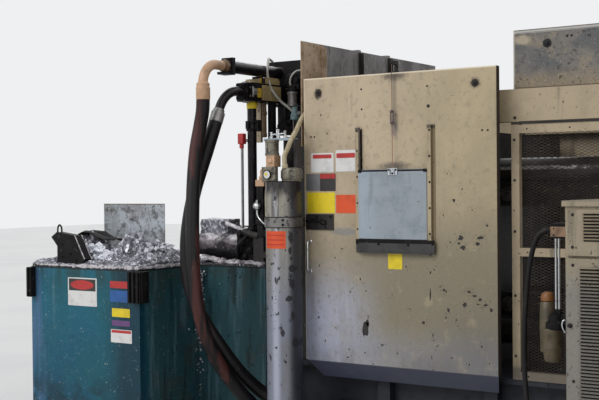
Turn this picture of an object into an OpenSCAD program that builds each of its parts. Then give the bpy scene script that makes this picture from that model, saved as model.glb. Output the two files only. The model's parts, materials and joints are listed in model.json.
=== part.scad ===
// Hot chamber die casting machine with its holding furnace and power cabinet.
// Origin on the floor under the die, +X from the furnace to the clamp end, -Y is the operator side.

/* [Bed] */
// Length of the bed from the fixed platen to the clamp end
bed_len = 3500; // [3200:10:4200]
// Distance from each deck edge in to the side of the bed
bed_in = 60; // [30:5:120]
// Number of bays along each side of the bed
bay_n = 5; // [4:1:7]
// Height of the deck above the floor
deck_z = 490; // [440:10:560]
// Thickness of the deck plate
deck_t = 30; // [15:5:50]
// Width of the deck plate
deck_w = 1680; // [1640:10:1690]

/* [Platens] */
// Distance from each deck edge in to the side of the platens
platen_in = 90; // [60:5:120]
// Height of the machine's centre line above the floor
centre_z = 1170; // [1120:10:1240]
// Height of each platen above the centre line
platen_up = 700; // [640:10:720]
// Thickness of the fixed platen
fixed_t = 240; // [180:10:260]
// Distance from the fixed platen to the moving platen
die_gap = 820; // [700:10:950]
// Thickness of the moving platen
moving_t = 200; // [150:10:240]
// Distance from the fixed platen to the rear platen
rear_gap = 2360; // [2250:10:2400]
// Thickness of the rear platen
rear_t = 240; // [180:10:260]
// Diameter of each tie bar
tie_d = 140; // [100:5:160]
// Distance between tie bars, both ways
tie_pitch = 940; // [880:10:1000]
// Diameter of each tie bar nut
nut_d = 230; // [200:5:250]
// Length of each tie bar nut
nut_len = 90; // [60:5:95]
// Diameter of the clamp cylinder
clamp_d = 340; // [280:10:380]
// Length of the clamp cylinder behind the rear platen
clamp_len = 560; // [480:10:640]
// Thickness of each toggle link
link_t = 110; // [80:5:130]
// Height of each toggle link
link_h = 140; // [100:5:160]

/* [Guards] */
// How far the guards stand out past each deck edge
guard_out = 10; // [5:1:20]
// Height of the guard frames
guard_top = 1880; // [1800:10:1890]
// Width of each guard frame bar
guard_bar = 45; // [30:1:60]
// Depth of each guard frame bar
guard_depth = 40; // [25:1:45]
// Width of the mesh guards along the machine
guard_len = 1630; // [1400:10:1700]
// Height of the middle rail above the floor
mid_rail_z = 1188; // [1000:10:1400]
// Thickness of the mesh sheet
mesh_t = 4; // [2:1:8]
// Underside of the track beam
beam_z = 1900; // [1895:5:1950]
// Height of the track beam
beam_h = 170; // [120:5:200]
// Depth of the track beam
beam_w = 80; // [60:5:100]
// Height of the door rail on the beam
rail_h = 6; // [4:1:9]
// Height of the top cover
cover_h = 320; // [200:10:400]
// Top of the side guard above the floor
side_top = 2440; // [2300:10:2500]
// Thickness of the side guard sheets
side_t = 5; // [3:1:8]
// Width of the painted front sheet of the side guard
side_front_w = 270; // [200:10:400]

/* [Safety door] */
// Width of the door
door_w = 1235; // [1150:5:1260]
// Height of the door panel above its fold
door_h = 1680; // [1640:10:1720]
// Height of the fold above the floor
door_z = 520; // [500:5:560]
// Thickness of the door sheet
door_t = 4; // [3:1:6]
// Depth of the door's returned edges
door_depth = 45; // [30:1:50]
// Depth of the folded lower edge
fold_y = 108; // [80:1:110]
// Drop of the folded lower edge
fold_z = 110; // [60:1:130]
// Radius of the door wheels
wheel_r = 37; // [30:1:45]
// Width of the door wheels
wheel_w = 24; // [16:1:28]
// Distance from each door edge to its wheel
wheel_inset = 114; // [90:1:200]
// Height of the pull handle
handle_h = 192; // [150:1:260]
// Diameter of the pull handle
handle_d = 14; // [10:1:18]
// Distance from the door to the outside of the pull handle
handle_out = 40; // [30:1:50]

/* [Hatch] */
// Width of the hatch sheet
hatch_w = 464; // [400:2:500]
// Height of the hatch sheet
hatch_h = 400; // [340:5:420]
// Underside of the hatch above the floor
hatch_z = 1250; // [1200:5:1300]
// Distance from the door's left edge to the hatch's middle
hatch_x = 612; // [560:1:660]
// Thickness of the hatch sheet
hatch_t = 3; // [2:1:4]
// Length of the hatch guide rails
hatch_rail_len = 725; // [690:5:750]
// Height of the ledge under the hatch
ledge_h = 80; // [50:5:100]

/* [Shot end] */
// Diameter of each shot frame bar
bar_d = 154; // [120:2:160]
// Distance from the side of the platens in to the middle of each shot frame bar
bar_in = 80; // [60:5:120]
// Length of each shot frame bar
bar_len = 740; // [600:10:900]
// Distance from the fixed platen to the yoke's middle
yoke_gap = 300; // [250:10:400]
// Thickness of the yoke along the machine
yoke_t = 130; // [100:5:160]
// Diameter of the yoke posts
post_d = 60; // [45:1:75]
// Underside of the crosshead above the floor
head_z = 2100; // [2050:10:2150]
// Height of the crosshead
head_h = 300; // [260:10:340]
// Length of the crosshead across the machine
head_w = 640; // [560:10:760]
// Diameter of the shot cylinder
shot_d = 220; // [160:5:240]
// Diameter of the nozzle in the fixed platen
nozzle_d = 160; // [100:5:180]
// Length of the shot cylinder under the crosshead
shot_len = 550; // [450:10:640]

/* [Hoses and pipes] */
// Outer diameter of the large hoses
hose_d = 84; // [70:1:90]
// Outer diameter of the pipes
pipe_d = 80; // [60:1:90]
// Outer diameter of the elbows
elbow_d = 60; // [45:1:70]
// Height of the pipe flanges
flange_h = 108; // [95:1:140]

/* [Accumulator] */
// Diameter of the accumulator
acc_d = 214; // [180:2:220]
// Height of the accumulator's shoulder above the floor
acc_h = 1585; // [1450:5:1700]
// Distance from the accumulator's shoulder down to the clamp band
band_drop = 265; // [200:5:400]
// Height of the clamp band
band_h = 55; // [30:5:80]

/* [Furnace] */
// Length of the furnace along the machine
furnace_len = 1480; // [1400:10:1800]
// Width of the furnace body
furnace_w = 1640; // [1500:10:1650]
// Height of the furnace rim above the floor
furnace_h = 1050; // [900:10:1060]
// Length of the charging well
well_len = 940; // [800:10:1100]
// Depth of the charging well in front of the body
well_depth = 580; // [400:10:650]
// Thickness of the furnace deck plate
top_t = 15; // [8:1:16]

/* [Power cabinet] */
// Width of the cabinet
cab_w = 900; // [700:10:1000]
// Depth of the cabinet
cab_d = 600; // [450:10:640]
// Height of the cabinet under its lid
cab_h = 1460; // [1300:10:1600]
// Height of the cabinet's lower door
cab_split = 1240; // [1000:10:1260]
// Thickness of the cabinet lid
lid_t = 25; // [15:1:40]
// Height of the skid under the cabinet
skid_h = 80; // [60:5:120]
// Length of the junction box beside the cabinet
jb_len = 139; // [100:1:160]

/* [Hidden] */
$fn = 64;
fit = 0.3;

// Places along the machine
platen_x = -60;
bed_x = platen_x - fixed_t;
bed_end = bed_x + bed_len;
moving_x = platen_x + die_gap;
link_x = moving_x + moving_t;
rear_x = platen_x + rear_gap;
guard_x = door_w + 35;
guard_end = guard_x + guard_len;
guard_post_x = [guard_x, (guard_x + guard_end - guard_bar) / 2, guard_end - guard_bar];
beam_x = platen_x + side_t;
yoke_x = bed_x - yoke_gap;
yoke_up = bar_d / 2 + 18;
yoke_rim = 12;

// Places across the machine
guard_y = deck_w / 2 + guard_out;
bed_y = deck_w / 2 - bed_in;
platen_w = deck_w - 2 * platen_in;
beam_y = guard_y - beam_w;
door_y = -guard_y - 120;
bar_y = platen_w / 2 - bar_in;
furnace_y = -furnace_w / 2;
well_y = furnace_y - well_depth;

// Heights
beam_top = beam_z + beam_h;
rail_top = beam_top + rail_h;
cover_z = beam_top + 10;
door_top = door_z + door_h;
platen_top = centre_z + platen_up;
band_z = acc_h - band_drop;

// Ribs along both sides of the bed, one at each end of every bay
rib_t = 80;
rib_deep = 65;
core_y = bed_y - rib_deep;

// Tie bars with their nuts, and the toggle links
tie_len = rear_gap + rear_t + fixed_t + 2 * nut_len;
link_y = 250;
link_z = 330;
cylinder_rim = 60;
cylinder_end = 50;

// Guards
post_w = 60;
cover_y = guard_y - 40;
cover_foot = 40;
rail_w = 34;
side_y = guard_y + 60;
side_low = platen_top - 70;
side_bracket_y = 200;
end_t = 30;
end_gap = 40;

// Door wheels and pull handle
axle_d = 20;
hanger_w = 80;
hanger_t = 8;
handle_x = 37;
handle_z = 1044;
latch_low = 1298;
latch_high = 1392;
latch_w = 191;
fold_in = 12;
fold_cut = 45;

// Hatch: the sheet runs between the door face and the lips of its rails
hatch_gap = 9;
hatch_y = door_y - hatch_gap - hatch_t;
lip_gap = 5;
rail_t = 3;
rail_lip = 22;
rail_flange = 17;
edge_gap = 5;
ear_gap = 10;
ear_t = 6;
ear_out = 20;
ear_h = 30;
window_low = 30;
hatch_left = hatch_x - hatch_w / 2;
hatch_right = hatch_x + hatch_w / 2;
rail_y = hatch_y - lip_gap - rail_t;
cable_d = 5;
cable_y = hatch_y - 14;
window_w = hatch_w - 84;
window_h = hatch_h - 2 * window_low;
pulley_z = door_top + 45;
pulley_w = 44;
pulley_h = 24;
turnbuckle = [14, 80, door_top - 295];

// Accumulator
acc_x = -70;
acc_y = door_y - 125;
acc_foot = 20;

// Furnace
furnace_gap = 100;
furnace_x = bed_x - furnace_gap - furnace_len;
plinth_h = 100;
plinth_in = 30;
top_in = 6;
furnace_right = furnace_x + furnace_len;
top_z = furnace_h + top_t;
panel_x = 100;
panel_w = 550;
panel_h = 385;
lug_d = 45;
lug_h = 195;
lug_drop = 5;
lug_w = [40, 90];
lug_side = 40;
heap_at = [515, 100, 0];
heap_foot = [395, 420, 10];
heap_in = [55, 120, 0];
heap_crown = [240, 200, 90];
lump_at = [185, 90, 0];
lump = [60, 200, 95];
leaf_at = [176, 20];
leaf_t = 60;
leaf = [[-9, 178], [39, 210], [205, 190], [290, 40], [255, 0], [44, 0], [44, 120]];

// Power cabinet
cab_x = 1941;
cab_y = -1870;
lid_out = 12;
cab_door_t = 20;
cab_door_in = 10;
door_split = 6;
fitting_y = cab_y + 200;
jb_w = 100;
jb_low = 1310;
jb_h = 70;
rod_x_list = [cab_x - 126, cab_x - 103];
rod_low = 960;
filter_d = 90;
filter_len = 160;
filter_head = [151, 60, 60];

// Pipes on the crosshead
side_block = 80;
head_top = head_z + head_h;
upper_drop = 80;
head_left = 90;
head_right = 250;
hose_y = -1180;
head_y = -head_w / 2 - 30;
upper_z = head_top - upper_drop;
lower_z = head_z + 70;
lower_y = -bar_y - side_block;
flange_t = 30;
flange_w = pipe_d + 4;
flange_y = hose_y + 250;
elbow_r = 130;
elbow_y = hose_y + elbow_r;
stub_z = 2100;
bend_r = 220;
bend_a = 65;
bend_y = lower_y - 70;
collar_d = hose_d + 4;
collar_len = 90;
gooseneck_top = top_z + 100;

// Routes of the hoses and the control cable, point by point
upper_route = [[-600, -1180, 2100], [-606, -1180, 2020], [-622, -1188, 1920], [-634, -1214, 1780],
    [-624, -1252, 1600], [-606, -1288, 1400], [-587, -1314, 1200], [-573, -1325, 1050],
    [-558, -1325, 920], [-541, -1313, 800], [-522, -1288, 685], [-500, -1252, 580],
    [-475, -1208, 482], [-443, -1147, 386], [-396, -1078, 284], [-318, -984, 165],
    [-186, -911, 94], [-30, -885, 70], [100, -885, 70]];
lower_route = [[-600, -1057, 1961], [-608, -1092, 1871], [-628, -1118, 1770], [-652, -1146, 1660],
    [-675, -1176, 1540], [-696, -1200, 1400], [-706, -1220, 1250], [-700, -1232, 1100],
    [-677, -1236, 960], [-634, -1224, 830], [-574, -1196, 705], [-514, -1152, 590],
    [-460, -1086, 470], [-410, -1016, 370], [-328, -945, 275], [-205, -900, 206],
    [-60, -885, 178], [100, -885, 178]];
cable_route = [[1802, -1670, 1345], [1775, -1670, 1343], [1745, -1670, 1325], [1722, -1670, 1285],
    [1704, -1670, 1220], [1690, -1670, 1140], [1680, -1670, 1050], [1672, -1670, 950],
    [1668, -1670, 850], [1667, -1670, 750], [1670, -1670, 650], [1678, -1670, 550],
    [1692, -1670, 450], [1715, -1670, 350], [1750, -1670, 262], [1795, -1670, 190],
    [1850, -1670, 140], [1905, -1670, 122], [1941, -1670, 120]];
cable_w = 24;

function unit(v) = v / norm(v);
function along(p, i) = unit(p[min(i + 1, len(p) - 1)] - p[max(i - 1, 0)]);

// A closed tube along a list of points
module tube(points, d, sides = 10, ref = [0, 1, 0]) {
    rings = [for (i = [0 : len(points) - 1])
        let (t = along(points, i), u = unit(cross(t, ref)), v = cross(t, u))
        for (k = [0 : sides - 1])
            points[i] + d / 2 * (u * cos(360 * k / sides) + v * sin(360 * k / sides))];
    last = (len(points) - 1) * sides;
    polyhedron(points = rings, faces = concat(
        [[for (k = [0 : sides - 1]) k]],
        [[for (k = [sides - 1 : -1 : 0]) last + k]],
        [for (i = [0 : len(points) - 2], k = [0 : sides - 1])
            [i * sides + k, (i + 1) * sides + k,
                (i + 1) * sides + (k + 1) % sides, i * sides + (k + 1) % sides]]));
}

// A box given by its lowest and highest corners
module block(low, high) {
    translate(low) cube(high - low);
}

// A round bar along X, Y or Z from a point
module rod_x(p, d, l) {
    translate(p) rotate([0, 90, 0]) cylinder(d = d, h = l);
}

module rod_y(p, d, l) {
    translate(p) rotate([-90, 0, 0]) cylinder(d = d, h = l);
}

module rod_z(p, d, l) {
    translate(p) cylinder(d = d, h = l);
}

// Repeats its children at the four tie bars
module at_ties(x) {
    for (y = [-1, 1], z = [-1, 1])
        translate([x, y * tie_pitch / 2, centre_z + z * tie_pitch / 2]) rotate([0, 90, 0]) children();
}

module platen(x, t) {
    difference() {
        block([x, -platen_w / 2, deck_z], [x + t, platen_w / 2, platen_top]);
        at_ties(x - 1) cylinder(d = tie_d + 2 * fit, h = t + 2);
        children();
    }
}

module bed_frame() {
    color("dimgray")
        block([bed_x, -core_y, 0], [bed_end, core_y, deck_z - deck_t]);
}

module bed_ribs() {
    pitch = (bed_len - rib_t) / bay_n;
    color("dimgray") for (s = [-1, 1], i = [0 : bay_n])
        translate([bed_x + pitch * i, s < 0 ? -bed_y : core_y, 0])
            cube([rib_t, rib_deep, deck_z - deck_t]);
}

module bed_deck() {
    color("dimgray")
        block([bed_x, -deck_w / 2, deck_z - deck_t], [bed_end, deck_w / 2, deck_z]);
}

module fixed_platen() {
    color("gray") platen(bed_x, fixed_t)
        rod_x([bed_x - 1, 0, centre_z], nozzle_d + 2 * fit, fixed_t + 2);
}

module moving_platen() {
    color("gray") platen(moving_x, moving_t);
}

module rear_platen() {
    color("gray") platen(rear_x, rear_t);
}

module tie_bars() {
    color("silver") {
        at_ties(bed_x - nut_len) cylinder(d = tie_d, h = tie_len);
        at_ties(bed_x - nut_len) cylinder(d = nut_d, h = nut_len);
        at_ties(rear_x + rear_t) cylinder(d = nut_d, h = nut_len);
    }
}

module toggle_links() {
    color("slategray") for (y = [-1, 1], z = [-1, 1])
        block([link_x, y * link_y - link_t / 2, centre_z + z * link_z - link_h / 2],
            [rear_x, y * link_y + link_t / 2, centre_z + z * link_z + link_h / 2]);
}

module clamp_cylinder() {
    color("slategray") {
        rod_x([rear_x + rear_t, 0, centre_z], clamp_d, clamp_len);
        rod_x([rear_x + rear_t + clamp_len, 0, centre_z], clamp_d + cylinder_rim, cylinder_end);
    }
}

// Posts under the beams: one at the fixed platen and three in the guards, on each side
module guard_posts() {
    color("tan") for (s = [-1, 1]) {
        translate([beam_x, s * (guard_y - post_w / 2) - post_w / 2, deck_z])
            cube([post_w, post_w, beam_z - deck_z]);
        for (x = guard_post_x)
            translate([x, s < 0 ? -guard_y : guard_y - guard_depth, deck_z])
                cube([guard_bar, guard_depth, beam_z - deck_z]);
    }
}

module beam(side) {
    color("tan") {
        translate([beam_x, side < 0 ? -guard_y : beam_y, beam_z])
            cube([guard_end - beam_x, beam_w, beam_h]);
        translate([beam_x, side < 0 ? -guard_y : guard_y - rail_w, beam_top])
            cube([guard_end - beam_x, rail_w, rail_h]);
    }
}

module track_beam() {
    beam(-1);
}

module rear_beam() {
    beam(1);
}

module top_cover() {
    color("tan") {
        block([guard_x, -cover_y, cover_z], [guard_end, cover_y, cover_z + cover_h]);
        for (s = [-1, 1])
            translate([guard_x, s * (cover_y - cover_foot / 2) - cover_foot / 2, beam_top])
                cube([guard_len, cover_foot, cover_z - beam_top]);
    }
}

module side_guard_front() {
    color("peru")
        block([platen_x, -side_y, side_low], [platen_x + side_t, side_front_w - side_y, side_top]);
}

module side_guard_rear() {
    color("lightslategray") {
        block([platen_x, side_front_w - side_y, side_low], [platen_x + side_t, side_y, side_top]);
        for (y = [-side_bracket_y, side_bracket_y])
            block([platen_x - 40, y - 20, side_top - 220], [platen_x, y + 20, side_top + 12]);
    }
}

// Rails between the guard posts: bottom, middle and top
module guard_rails(y) {
    for (i = [0, 1], z = [deck_z, mid_rail_z - guard_bar / 2, guard_top - guard_bar])
        block([guard_post_x[i] + guard_bar, y, z], [guard_post_x[i + 1], y + guard_depth, z + guard_bar]);
}

module guard_mesh(y) {
    block([guard_x + 10, y, deck_z + 10], [guard_end - 10, y + mesh_t, guard_top - 10]);
}

module front_guard_rails() {
    color("tan") guard_rails(-guard_y);
}

module front_mesh() {
    color("black") guard_mesh(guard_depth - guard_y);
}

module rear_guard_rails() {
    color("tan") guard_rails(guard_y - guard_depth);
}

module rear_mesh() {
    color("black") guard_mesh(guard_y - guard_depth - mesh_t);
}

module end_guard() {
    inner = guard_y - guard_depth - 2 * mesh_t;
    color("tan") difference() {
        union() {
            block([guard_end - end_t, -inner, deck_z], [guard_end, inner, beam_z]);
            block([guard_end - end_t, -beam_y, beam_z], [guard_end, beam_y, cover_z]);
        }
        rod_x([guard_end - end_t - 1, 0, centre_z], clamp_d + end_gap, end_t + 2);
    }
}

module rear_panel() {
    color("tan")
        block([0, guard_y, door_z], [door_w, guard_y + door_depth, door_top]);
}

// Door panel with its returned edges, its window behind the hatch and its folded lower edge
module safety_door() {
    inner = door_depth - door_t;
    color("tan") {
        difference() {
            block([0, door_y, door_z], [door_w, door_y + door_depth, door_top]);
            block([door_t, door_y + door_t, door_z + door_t],
                [door_w - door_t, door_y + door_depth + 1, door_top - door_t]);
            block([hatch_x - window_w / 2, door_y - 1, hatch_z + window_low],
                [hatch_x + window_w / 2, door_y + inner, hatch_z + window_low + window_h]);
        }
        door_fold();
    }
}

// The fold slopes down and back, and narrows at both ends
module door_fold() {
    back = door_y + fold_y + door_t;
    intersection() {
        translate([fold_in, 0, 0]) rotate([90, 0, 90]) linear_extrude(door_w - fold_in)
            polygon([[door_y, door_z], [back - door_t, door_z - fold_z], [back, door_z - fold_z + door_t],
                [door_y + 2 * door_t, door_z + door_t], [door_y, door_z + door_t]]);
        translate([0, 0, door_z - fold_z]) linear_extrude(fold_z + door_t)
            polygon([[fold_in, door_y], [door_w, door_y], [door_w, door_y + 2 * door_t],
                [door_w - fold_cut, back], [fold_in + fold_cut, back], [fold_in, door_y + 2 * door_t]]);
    }
}

// Wheels, axles and hanger plates behind the top of the door
module door_wheels() {
    wheel_y = -guard_y + 5;
    axle_z = rail_top + fit + wheel_r;
    plate_y = door_y + door_t;
    color("dimgray") for (x = [wheel_inset - 10, door_w - wheel_inset - 9]) {
        rod_y([x, wheel_y, axle_z], 2 * wheel_r, wheel_w);
        rod_y([x, plate_y, axle_z], axle_d, wheel_y - plate_y);
        block([x - hanger_w / 2, plate_y, axle_z - 45], [x + hanger_w / 2, plate_y + hanger_t, axle_z + 45]);
    }
}

module door_handle() {
    r = handle_d / 2;
    color("silver") {
        rod_z([handle_x, door_y - handle_out + r, handle_z + r], handle_d, handle_h - handle_d);
        for (z = [handle_z + r, handle_z + handle_h - r]) {
            rod_y([handle_x, door_y - handle_out + r, z], handle_d, handle_out - r);
            translate([handle_x, door_y - handle_out + r, z]) sphere(d = handle_d);
        }
    }
}

module latch_plate() {
    color("dimgray")
        block([fold_in, door_y - hanger_t, latch_low], [fold_in + latch_w, door_y, latch_high]);
}

module hatch() {
    eye_z = hatch_z + fit + hatch_h;
    color("lightsteelblue") {
        block([hatch_left, hatch_y, hatch_z + fit],
            [hatch_right, hatch_y + hatch_t, eye_z]);
        for (s = [-1, 1])
            translate([hatch_x + s * (ear_gap + ear_t / 2) - ear_t / 2, hatch_y - ear_out, eye_z - ear_h])
                cube([ear_t, ear_out, ear_h]);
    }
}

// One guide rail: a flange on the door, a web and a lip in front of the hatch
module hatch_rail(edge, out) {
    web = edge + out * edge_gap;
    spans = [[web + out * rail_t, web + out * (rail_t + rail_flange), door_y - rail_t, door_y],
        [web, web + out * rail_t, rail_y, door_y],
        [web - out * rail_lip, web, rail_y, rail_y + rail_t]];
    for (s = spans)
        block([min(s[0], s[1]), s[2], hatch_z - ledge_h],
            [max(s[0], s[1]), s[3], hatch_z - ledge_h + hatch_rail_len]);
}

module hatch_rails() {
    color("rosybrown") {
        hatch_rail(hatch_left, -1);
        hatch_rail(hatch_right, 1);
    }
}

module hatch_ledge() {
    color("dimgray")
        block([hatch_left - edge_gap, rail_y + rail_t, hatch_z - ledge_h],
            [hatch_right + edge_gap, door_y, hatch_z]);
}

// Cable from the hatch to the pulley bracket on the door's top edge
module hatch_cable() {
    eye_z = hatch_z + hatch_h - 8;
    color("dimgray") {
        rod_z([hatch_x, cable_y, eye_z], cable_d, pulley_z - eye_z);
        rod_z([hatch_x, cable_y, turnbuckle[2]], turnbuckle[0], turnbuckle[1]);
        block([hatch_x - pulley_w / 2, cable_y - 6, pulley_z],
            [hatch_x + pulley_w / 2, door_y + 34, pulley_z + pulley_h]);
        block([hatch_x - pulley_w / 2, door_y + 6, door_top],
            [hatch_x + pulley_w / 2, door_y + 34, pulley_z]);
    }
}

module accumulator() {
    color("beige") {
        rod_z([acc_x, acc_y, acc_foot], acc_d, acc_h - acc_foot);
        rod_z([acc_x, acc_y, 0], acc_d + 60, acc_foot);
    }
}

module accumulator_band() {
    color("gray") difference() {
        union() {
            rod_z([acc_x, acc_y, band_z], acc_d + 14, band_h);
            block([beam_x + 5, acc_y, band_z], [beam_x + 35, -guard_y, band_z + band_h]);
        }
        rod_z([acc_x, acc_y, band_z - 1], acc_d, band_h + 2);
    }
}

// Valve block with its gauge, filler block and bolted cylinder; cap and box under the plate with its pins
module accumulator_head() {
    color("gray") translate([acc_x, acc_y, acc_h]) {
        block([-106, -70, 0], [-44, 10, 90]);
        block([-90, -50, 90], [-30, 20, 160]);
        rod_z([-75, -5, 160], 86, 92);
        block([-144, 8, 252], [62, 70, 260]);
        for (x = [-110, -60, -10]) rod_z([x, 40, 260], 16, 50);
        rod_z([45, 25, 0], 126, 85);
        block([0, 20, 85], [62, 70, 252]);
        rod_y([-75, -82, 50], 54, 12);
    }
}

// Pale hose from the cap to the track beam, as steps from the accumulator's shoulder
acc_pipe = [[31, -25, 80], [29, -28, 148], [50, -25, 196], [74, -20, 250], [70, 35, 300],
    [52, 85, 330], [40, 125, 357], [35, 175, 400], [32, 245, 438]];
module accumulator_pipe() {
    color("beige") translate([acc_x, acc_y, acc_h]) tube(acc_pipe, 30, 10, [1, 0, 0]);
}

module shot_bars() {
    color("gray") for (s = [-1, 1])
        rod_x([bed_x - bar_len, s * bar_y, centre_z], bar_d, bar_len);
}

module shot_yoke() {
    half = bar_y + bar_d / 2 + yoke_rim;
    low = centre_z - yoke_up;
    high = centre_z + yoke_up;
    color("dimgray") difference() {
        block([yoke_x - yoke_t / 2, -half, low], [yoke_x + yoke_t / 2, half, high]);
        for (s = [-1, 1])
            rod_x([yoke_x - yoke_t, s * bar_y, centre_z], bar_d + 2 * fit, 2 * yoke_t);
        rod_z([yoke_x, 0, low - 1], 120, high - low + 2);
    }
}

module shot_posts() {
    color("dimgray") for (s = [-1, 1])
        rod_z([yoke_x, s * bar_y, centre_z + yoke_up], post_d, lower_z - 60 - centre_z - yoke_up);
}

module crosshead() {
    color("dimgray") {
        block([yoke_x - head_left, head_y, head_z], [yoke_x + head_right, -head_y, head_top]);
        for (s = [-1, 1]) {
            y0 = s < 0 ? lower_y : -head_y;
            y1 = s < 0 ? head_y : -lower_y;
            block([yoke_x - 60, y0, lower_z - 60], [yoke_x + 60, y1, lower_z + 60]);
        }
    }
}

module shot_cylinder() {
    color("gray") {
        rod_z([yoke_x, 0, head_z - shot_len], shot_d, shot_len);
        rod_z([yoke_x, 0, gooseneck_top], 80, head_z - shot_len - gooseneck_top);
    }
}

module gooseneck() {
    color("dimgray") {
        rod_z([yoke_x, 0, top_z], 100, gooseneck_top - top_z);
        rod_x([yoke_x + yoke_t / 2, 0, centre_z], 70, bed_x - yoke_x - yoke_t / 2);
        rod_x([bed_x, 0, centre_z], nozzle_d, fixed_t);
    }
}

module pipe_flange(y, z) {
    translate([yoke_x - flange_w / 2, y, z - flange_h / 2]) cube([flange_w, flange_t, flange_h]);
}

module upper_pipe() {
    color("dimgray") {
        rod_y([yoke_x, flange_y, upper_z], pipe_d, head_y - flange_y);
        pipe_flange(flange_y, upper_z);
        rod_y([yoke_x, elbow_y, upper_z], elbow_d, flange_y - elbow_y);
        translate([yoke_x, elbow_y, upper_z - elbow_r]) rotate([90, 0, -90])
            rotate_extrude(angle = 90) translate([elbow_r, 0]) circle(d = elbow_d);
        rod_z([yoke_x, hose_y, stub_z], collar_d, collar_len);
    }
}

module lower_pipe() {
    color("dimgray") {
        rod_y([yoke_x, bend_y, lower_z], elbow_d, lower_y - bend_y);
        pipe_flange(lower_y - flange_t, lower_z);
        translate([yoke_x, bend_y, lower_z - bend_r]) rotate([90, 0, -90]) {
            rotate([0, 0, 90 - bend_a])
                rotate_extrude(angle = bend_a) translate([bend_r, 0]) circle(d = elbow_d);
            rotate([0, 0, 90 - bend_a]) translate([bend_r, 0, 0])
                rotate([90, 0, 0]) cylinder(d = collar_d, h = collar_len);
        }
    }
}

module upper_hose() {
    color("black") tube(upper_route, hose_d);
}

module lower_hose() {
    color("black") tube(lower_route, hose_d);
}

module hose_manifold() {
    color("dimgray") block([100, -bed_y - 165, 10], [280, -core_y, 250]);
}

module furnace_body() {
    color("teal") {
        block([furnace_x, furnace_y, plinth_h], [furnace_right, -furnace_y, furnace_h]);
        block([furnace_x + plinth_in, furnace_y + plinth_in, 0],
            [furnace_right - plinth_in, -furnace_y - plinth_in, plinth_h]);
        block([furnace_right, -200, 150], [bed_x, 200, 300]);
    }
}

module charging_well() {
    color("teal") {
        block([furnace_x, well_y, plinth_h], [furnace_x + well_len, furnace_y, furnace_h]);
        block([furnace_x + plinth_in, well_y + plinth_in, 0],
            [furnace_x + well_len - plinth_in, furnace_y, plinth_h]);
    }
}

// A short lug at the well's left and one that wraps its right corner
module furnace_lugs() {
    low = furnace_h - lug_drop - lug_h;
    corner = furnace_x + well_len;
    color("black") {
        block([furnace_x, well_y - lug_d, low], [furnace_x + lug_w[0], well_y, low + lug_h]);
        block([corner - lug_w[1], well_y - lug_d, low], [corner + lug_d, well_y, low + lug_h]);
        block([corner, well_y, low], [corner + lug_d, well_y + lug_side, low + lug_h]);
    }
}

module furnace_top() {
    color("gray") {
        block([furnace_x + top_in, furnace_y, furnace_h],
            [furnace_right - top_in, -furnace_y - top_in, top_z]);
        block([furnace_x + top_in, well_y + top_in, furnace_h],
            [furnace_x + well_len - top_in, furnace_y, top_z]);
    }
}

module dross_heap() {
    color("silver") {
        hull() {
            translate([furnace_x, well_y, top_z] + heap_at) cube(heap_foot);
            translate([furnace_x, well_y, top_z] + heap_at + heap_in) cube(heap_crown);
        }
        translate([furnace_x, well_y, top_z] + lump_at) cube(lump);
    }
}

module splash_panel() {
    color("lightsteelblue")
        block([furnace_x + panel_x, furnace_y + 10, top_z],
            [furnace_x + panel_x + panel_w, furnace_y + 14, top_z + panel_h]);
}

// Thick lid leaf that stands on the furnace top
module lid_plate() {
    color("dimgray") translate([furnace_x + leaf_at[0], well_y + leaf_at[1] + leaf_t, top_z])
        rotate([90, 0, 0]) linear_extrude(leaf_t) polygon(leaf);
}

module cabinet_body() {
    color("tan")
        block([cab_x, cab_y, skid_h], [cab_x + cab_w, cab_y + cab_d, cab_h]);
}

module cabinet_lid() {
    color("tan")
        block([cab_x - lid_out, cab_y - lid_out, cab_h],
            [cab_x + cab_w + lid_out, cab_y + cab_d + lid_out, cab_h + lid_t]);
}

module cabinet_doors() {
    color("tan") {
        block([cab_x + cab_door_in, cab_y - cab_door_t, skid_h + 20],
            [cab_x + cab_w - cab_door_in, cab_y, cab_split - door_split]);
        block([cab_x + cab_door_in, cab_y - cab_door_t, cab_split + door_split],
            [cab_x + cab_w - cab_door_in, cab_y, cab_h - 15]);
    }
}

module power_skid() {
    color("dimgray") {
        block([cab_x, cab_y, 0], [cab_x + cab_w, cab_y + cab_d, skid_h]);
        for (x = [cab_x + 60, cab_x + cab_w - 160])
            block([x, cab_y + cab_d, 0], [x + 100, -core_y, skid_h]);
    }
}

module junction_box() {
    color("peru")
        translate([cab_x - jb_len, fitting_y - jb_w / 2, jb_low]) cube([jb_len, jb_w, jb_h]);
}

module filter_unit() {
    color("silver") {
        for (x = rod_x_list) rod_z([x, fitting_y, rod_low], 14, jb_low - rod_low);
        translate([cab_x, fitting_y, rod_low] - [filter_head[0], filter_head[1] / 2, filter_head[2]])
            cube(filter_head);
        rod_z([rod_x_list[0], fitting_y, rod_low - filter_head[2] - filter_len], filter_d, filter_len);
    }
}

module control_cable() {
    color("black") tube(cable_route, cable_w, 8);
}

bed_frame();
bed_ribs();
bed_deck();
fixed_platen();
moving_platen();
rear_platen();
tie_bars();
toggle_links();
clamp_cylinder();
guard_posts();
track_beam();
rear_beam();
top_cover();
side_guard_front();
side_guard_rear();
front_guard_rails();
front_mesh();
rear_guard_rails();
rear_mesh();
end_guard();
rear_panel();
safety_door();
door_wheels();
door_handle();
latch_plate();
hatch();
hatch_rails();
hatch_ledge();
hatch_cable();
accumulator();
accumulator_band();
accumulator_head();
accumulator_pipe();
shot_bars();
shot_yoke();
shot_posts();
crosshead();
shot_cylinder();
gooseneck();
upper_pipe();
lower_pipe();
upper_hose();
lower_hose();
hose_manifold();
furnace_body();
charging_well();
furnace_lugs();
furnace_top();
dross_heap();
splash_panel();
lid_plate();
cabinet_body();
cabinet_lid();
cabinet_doors();
power_skid();
junction_box();
filter_unit();
control_cable();
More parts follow.
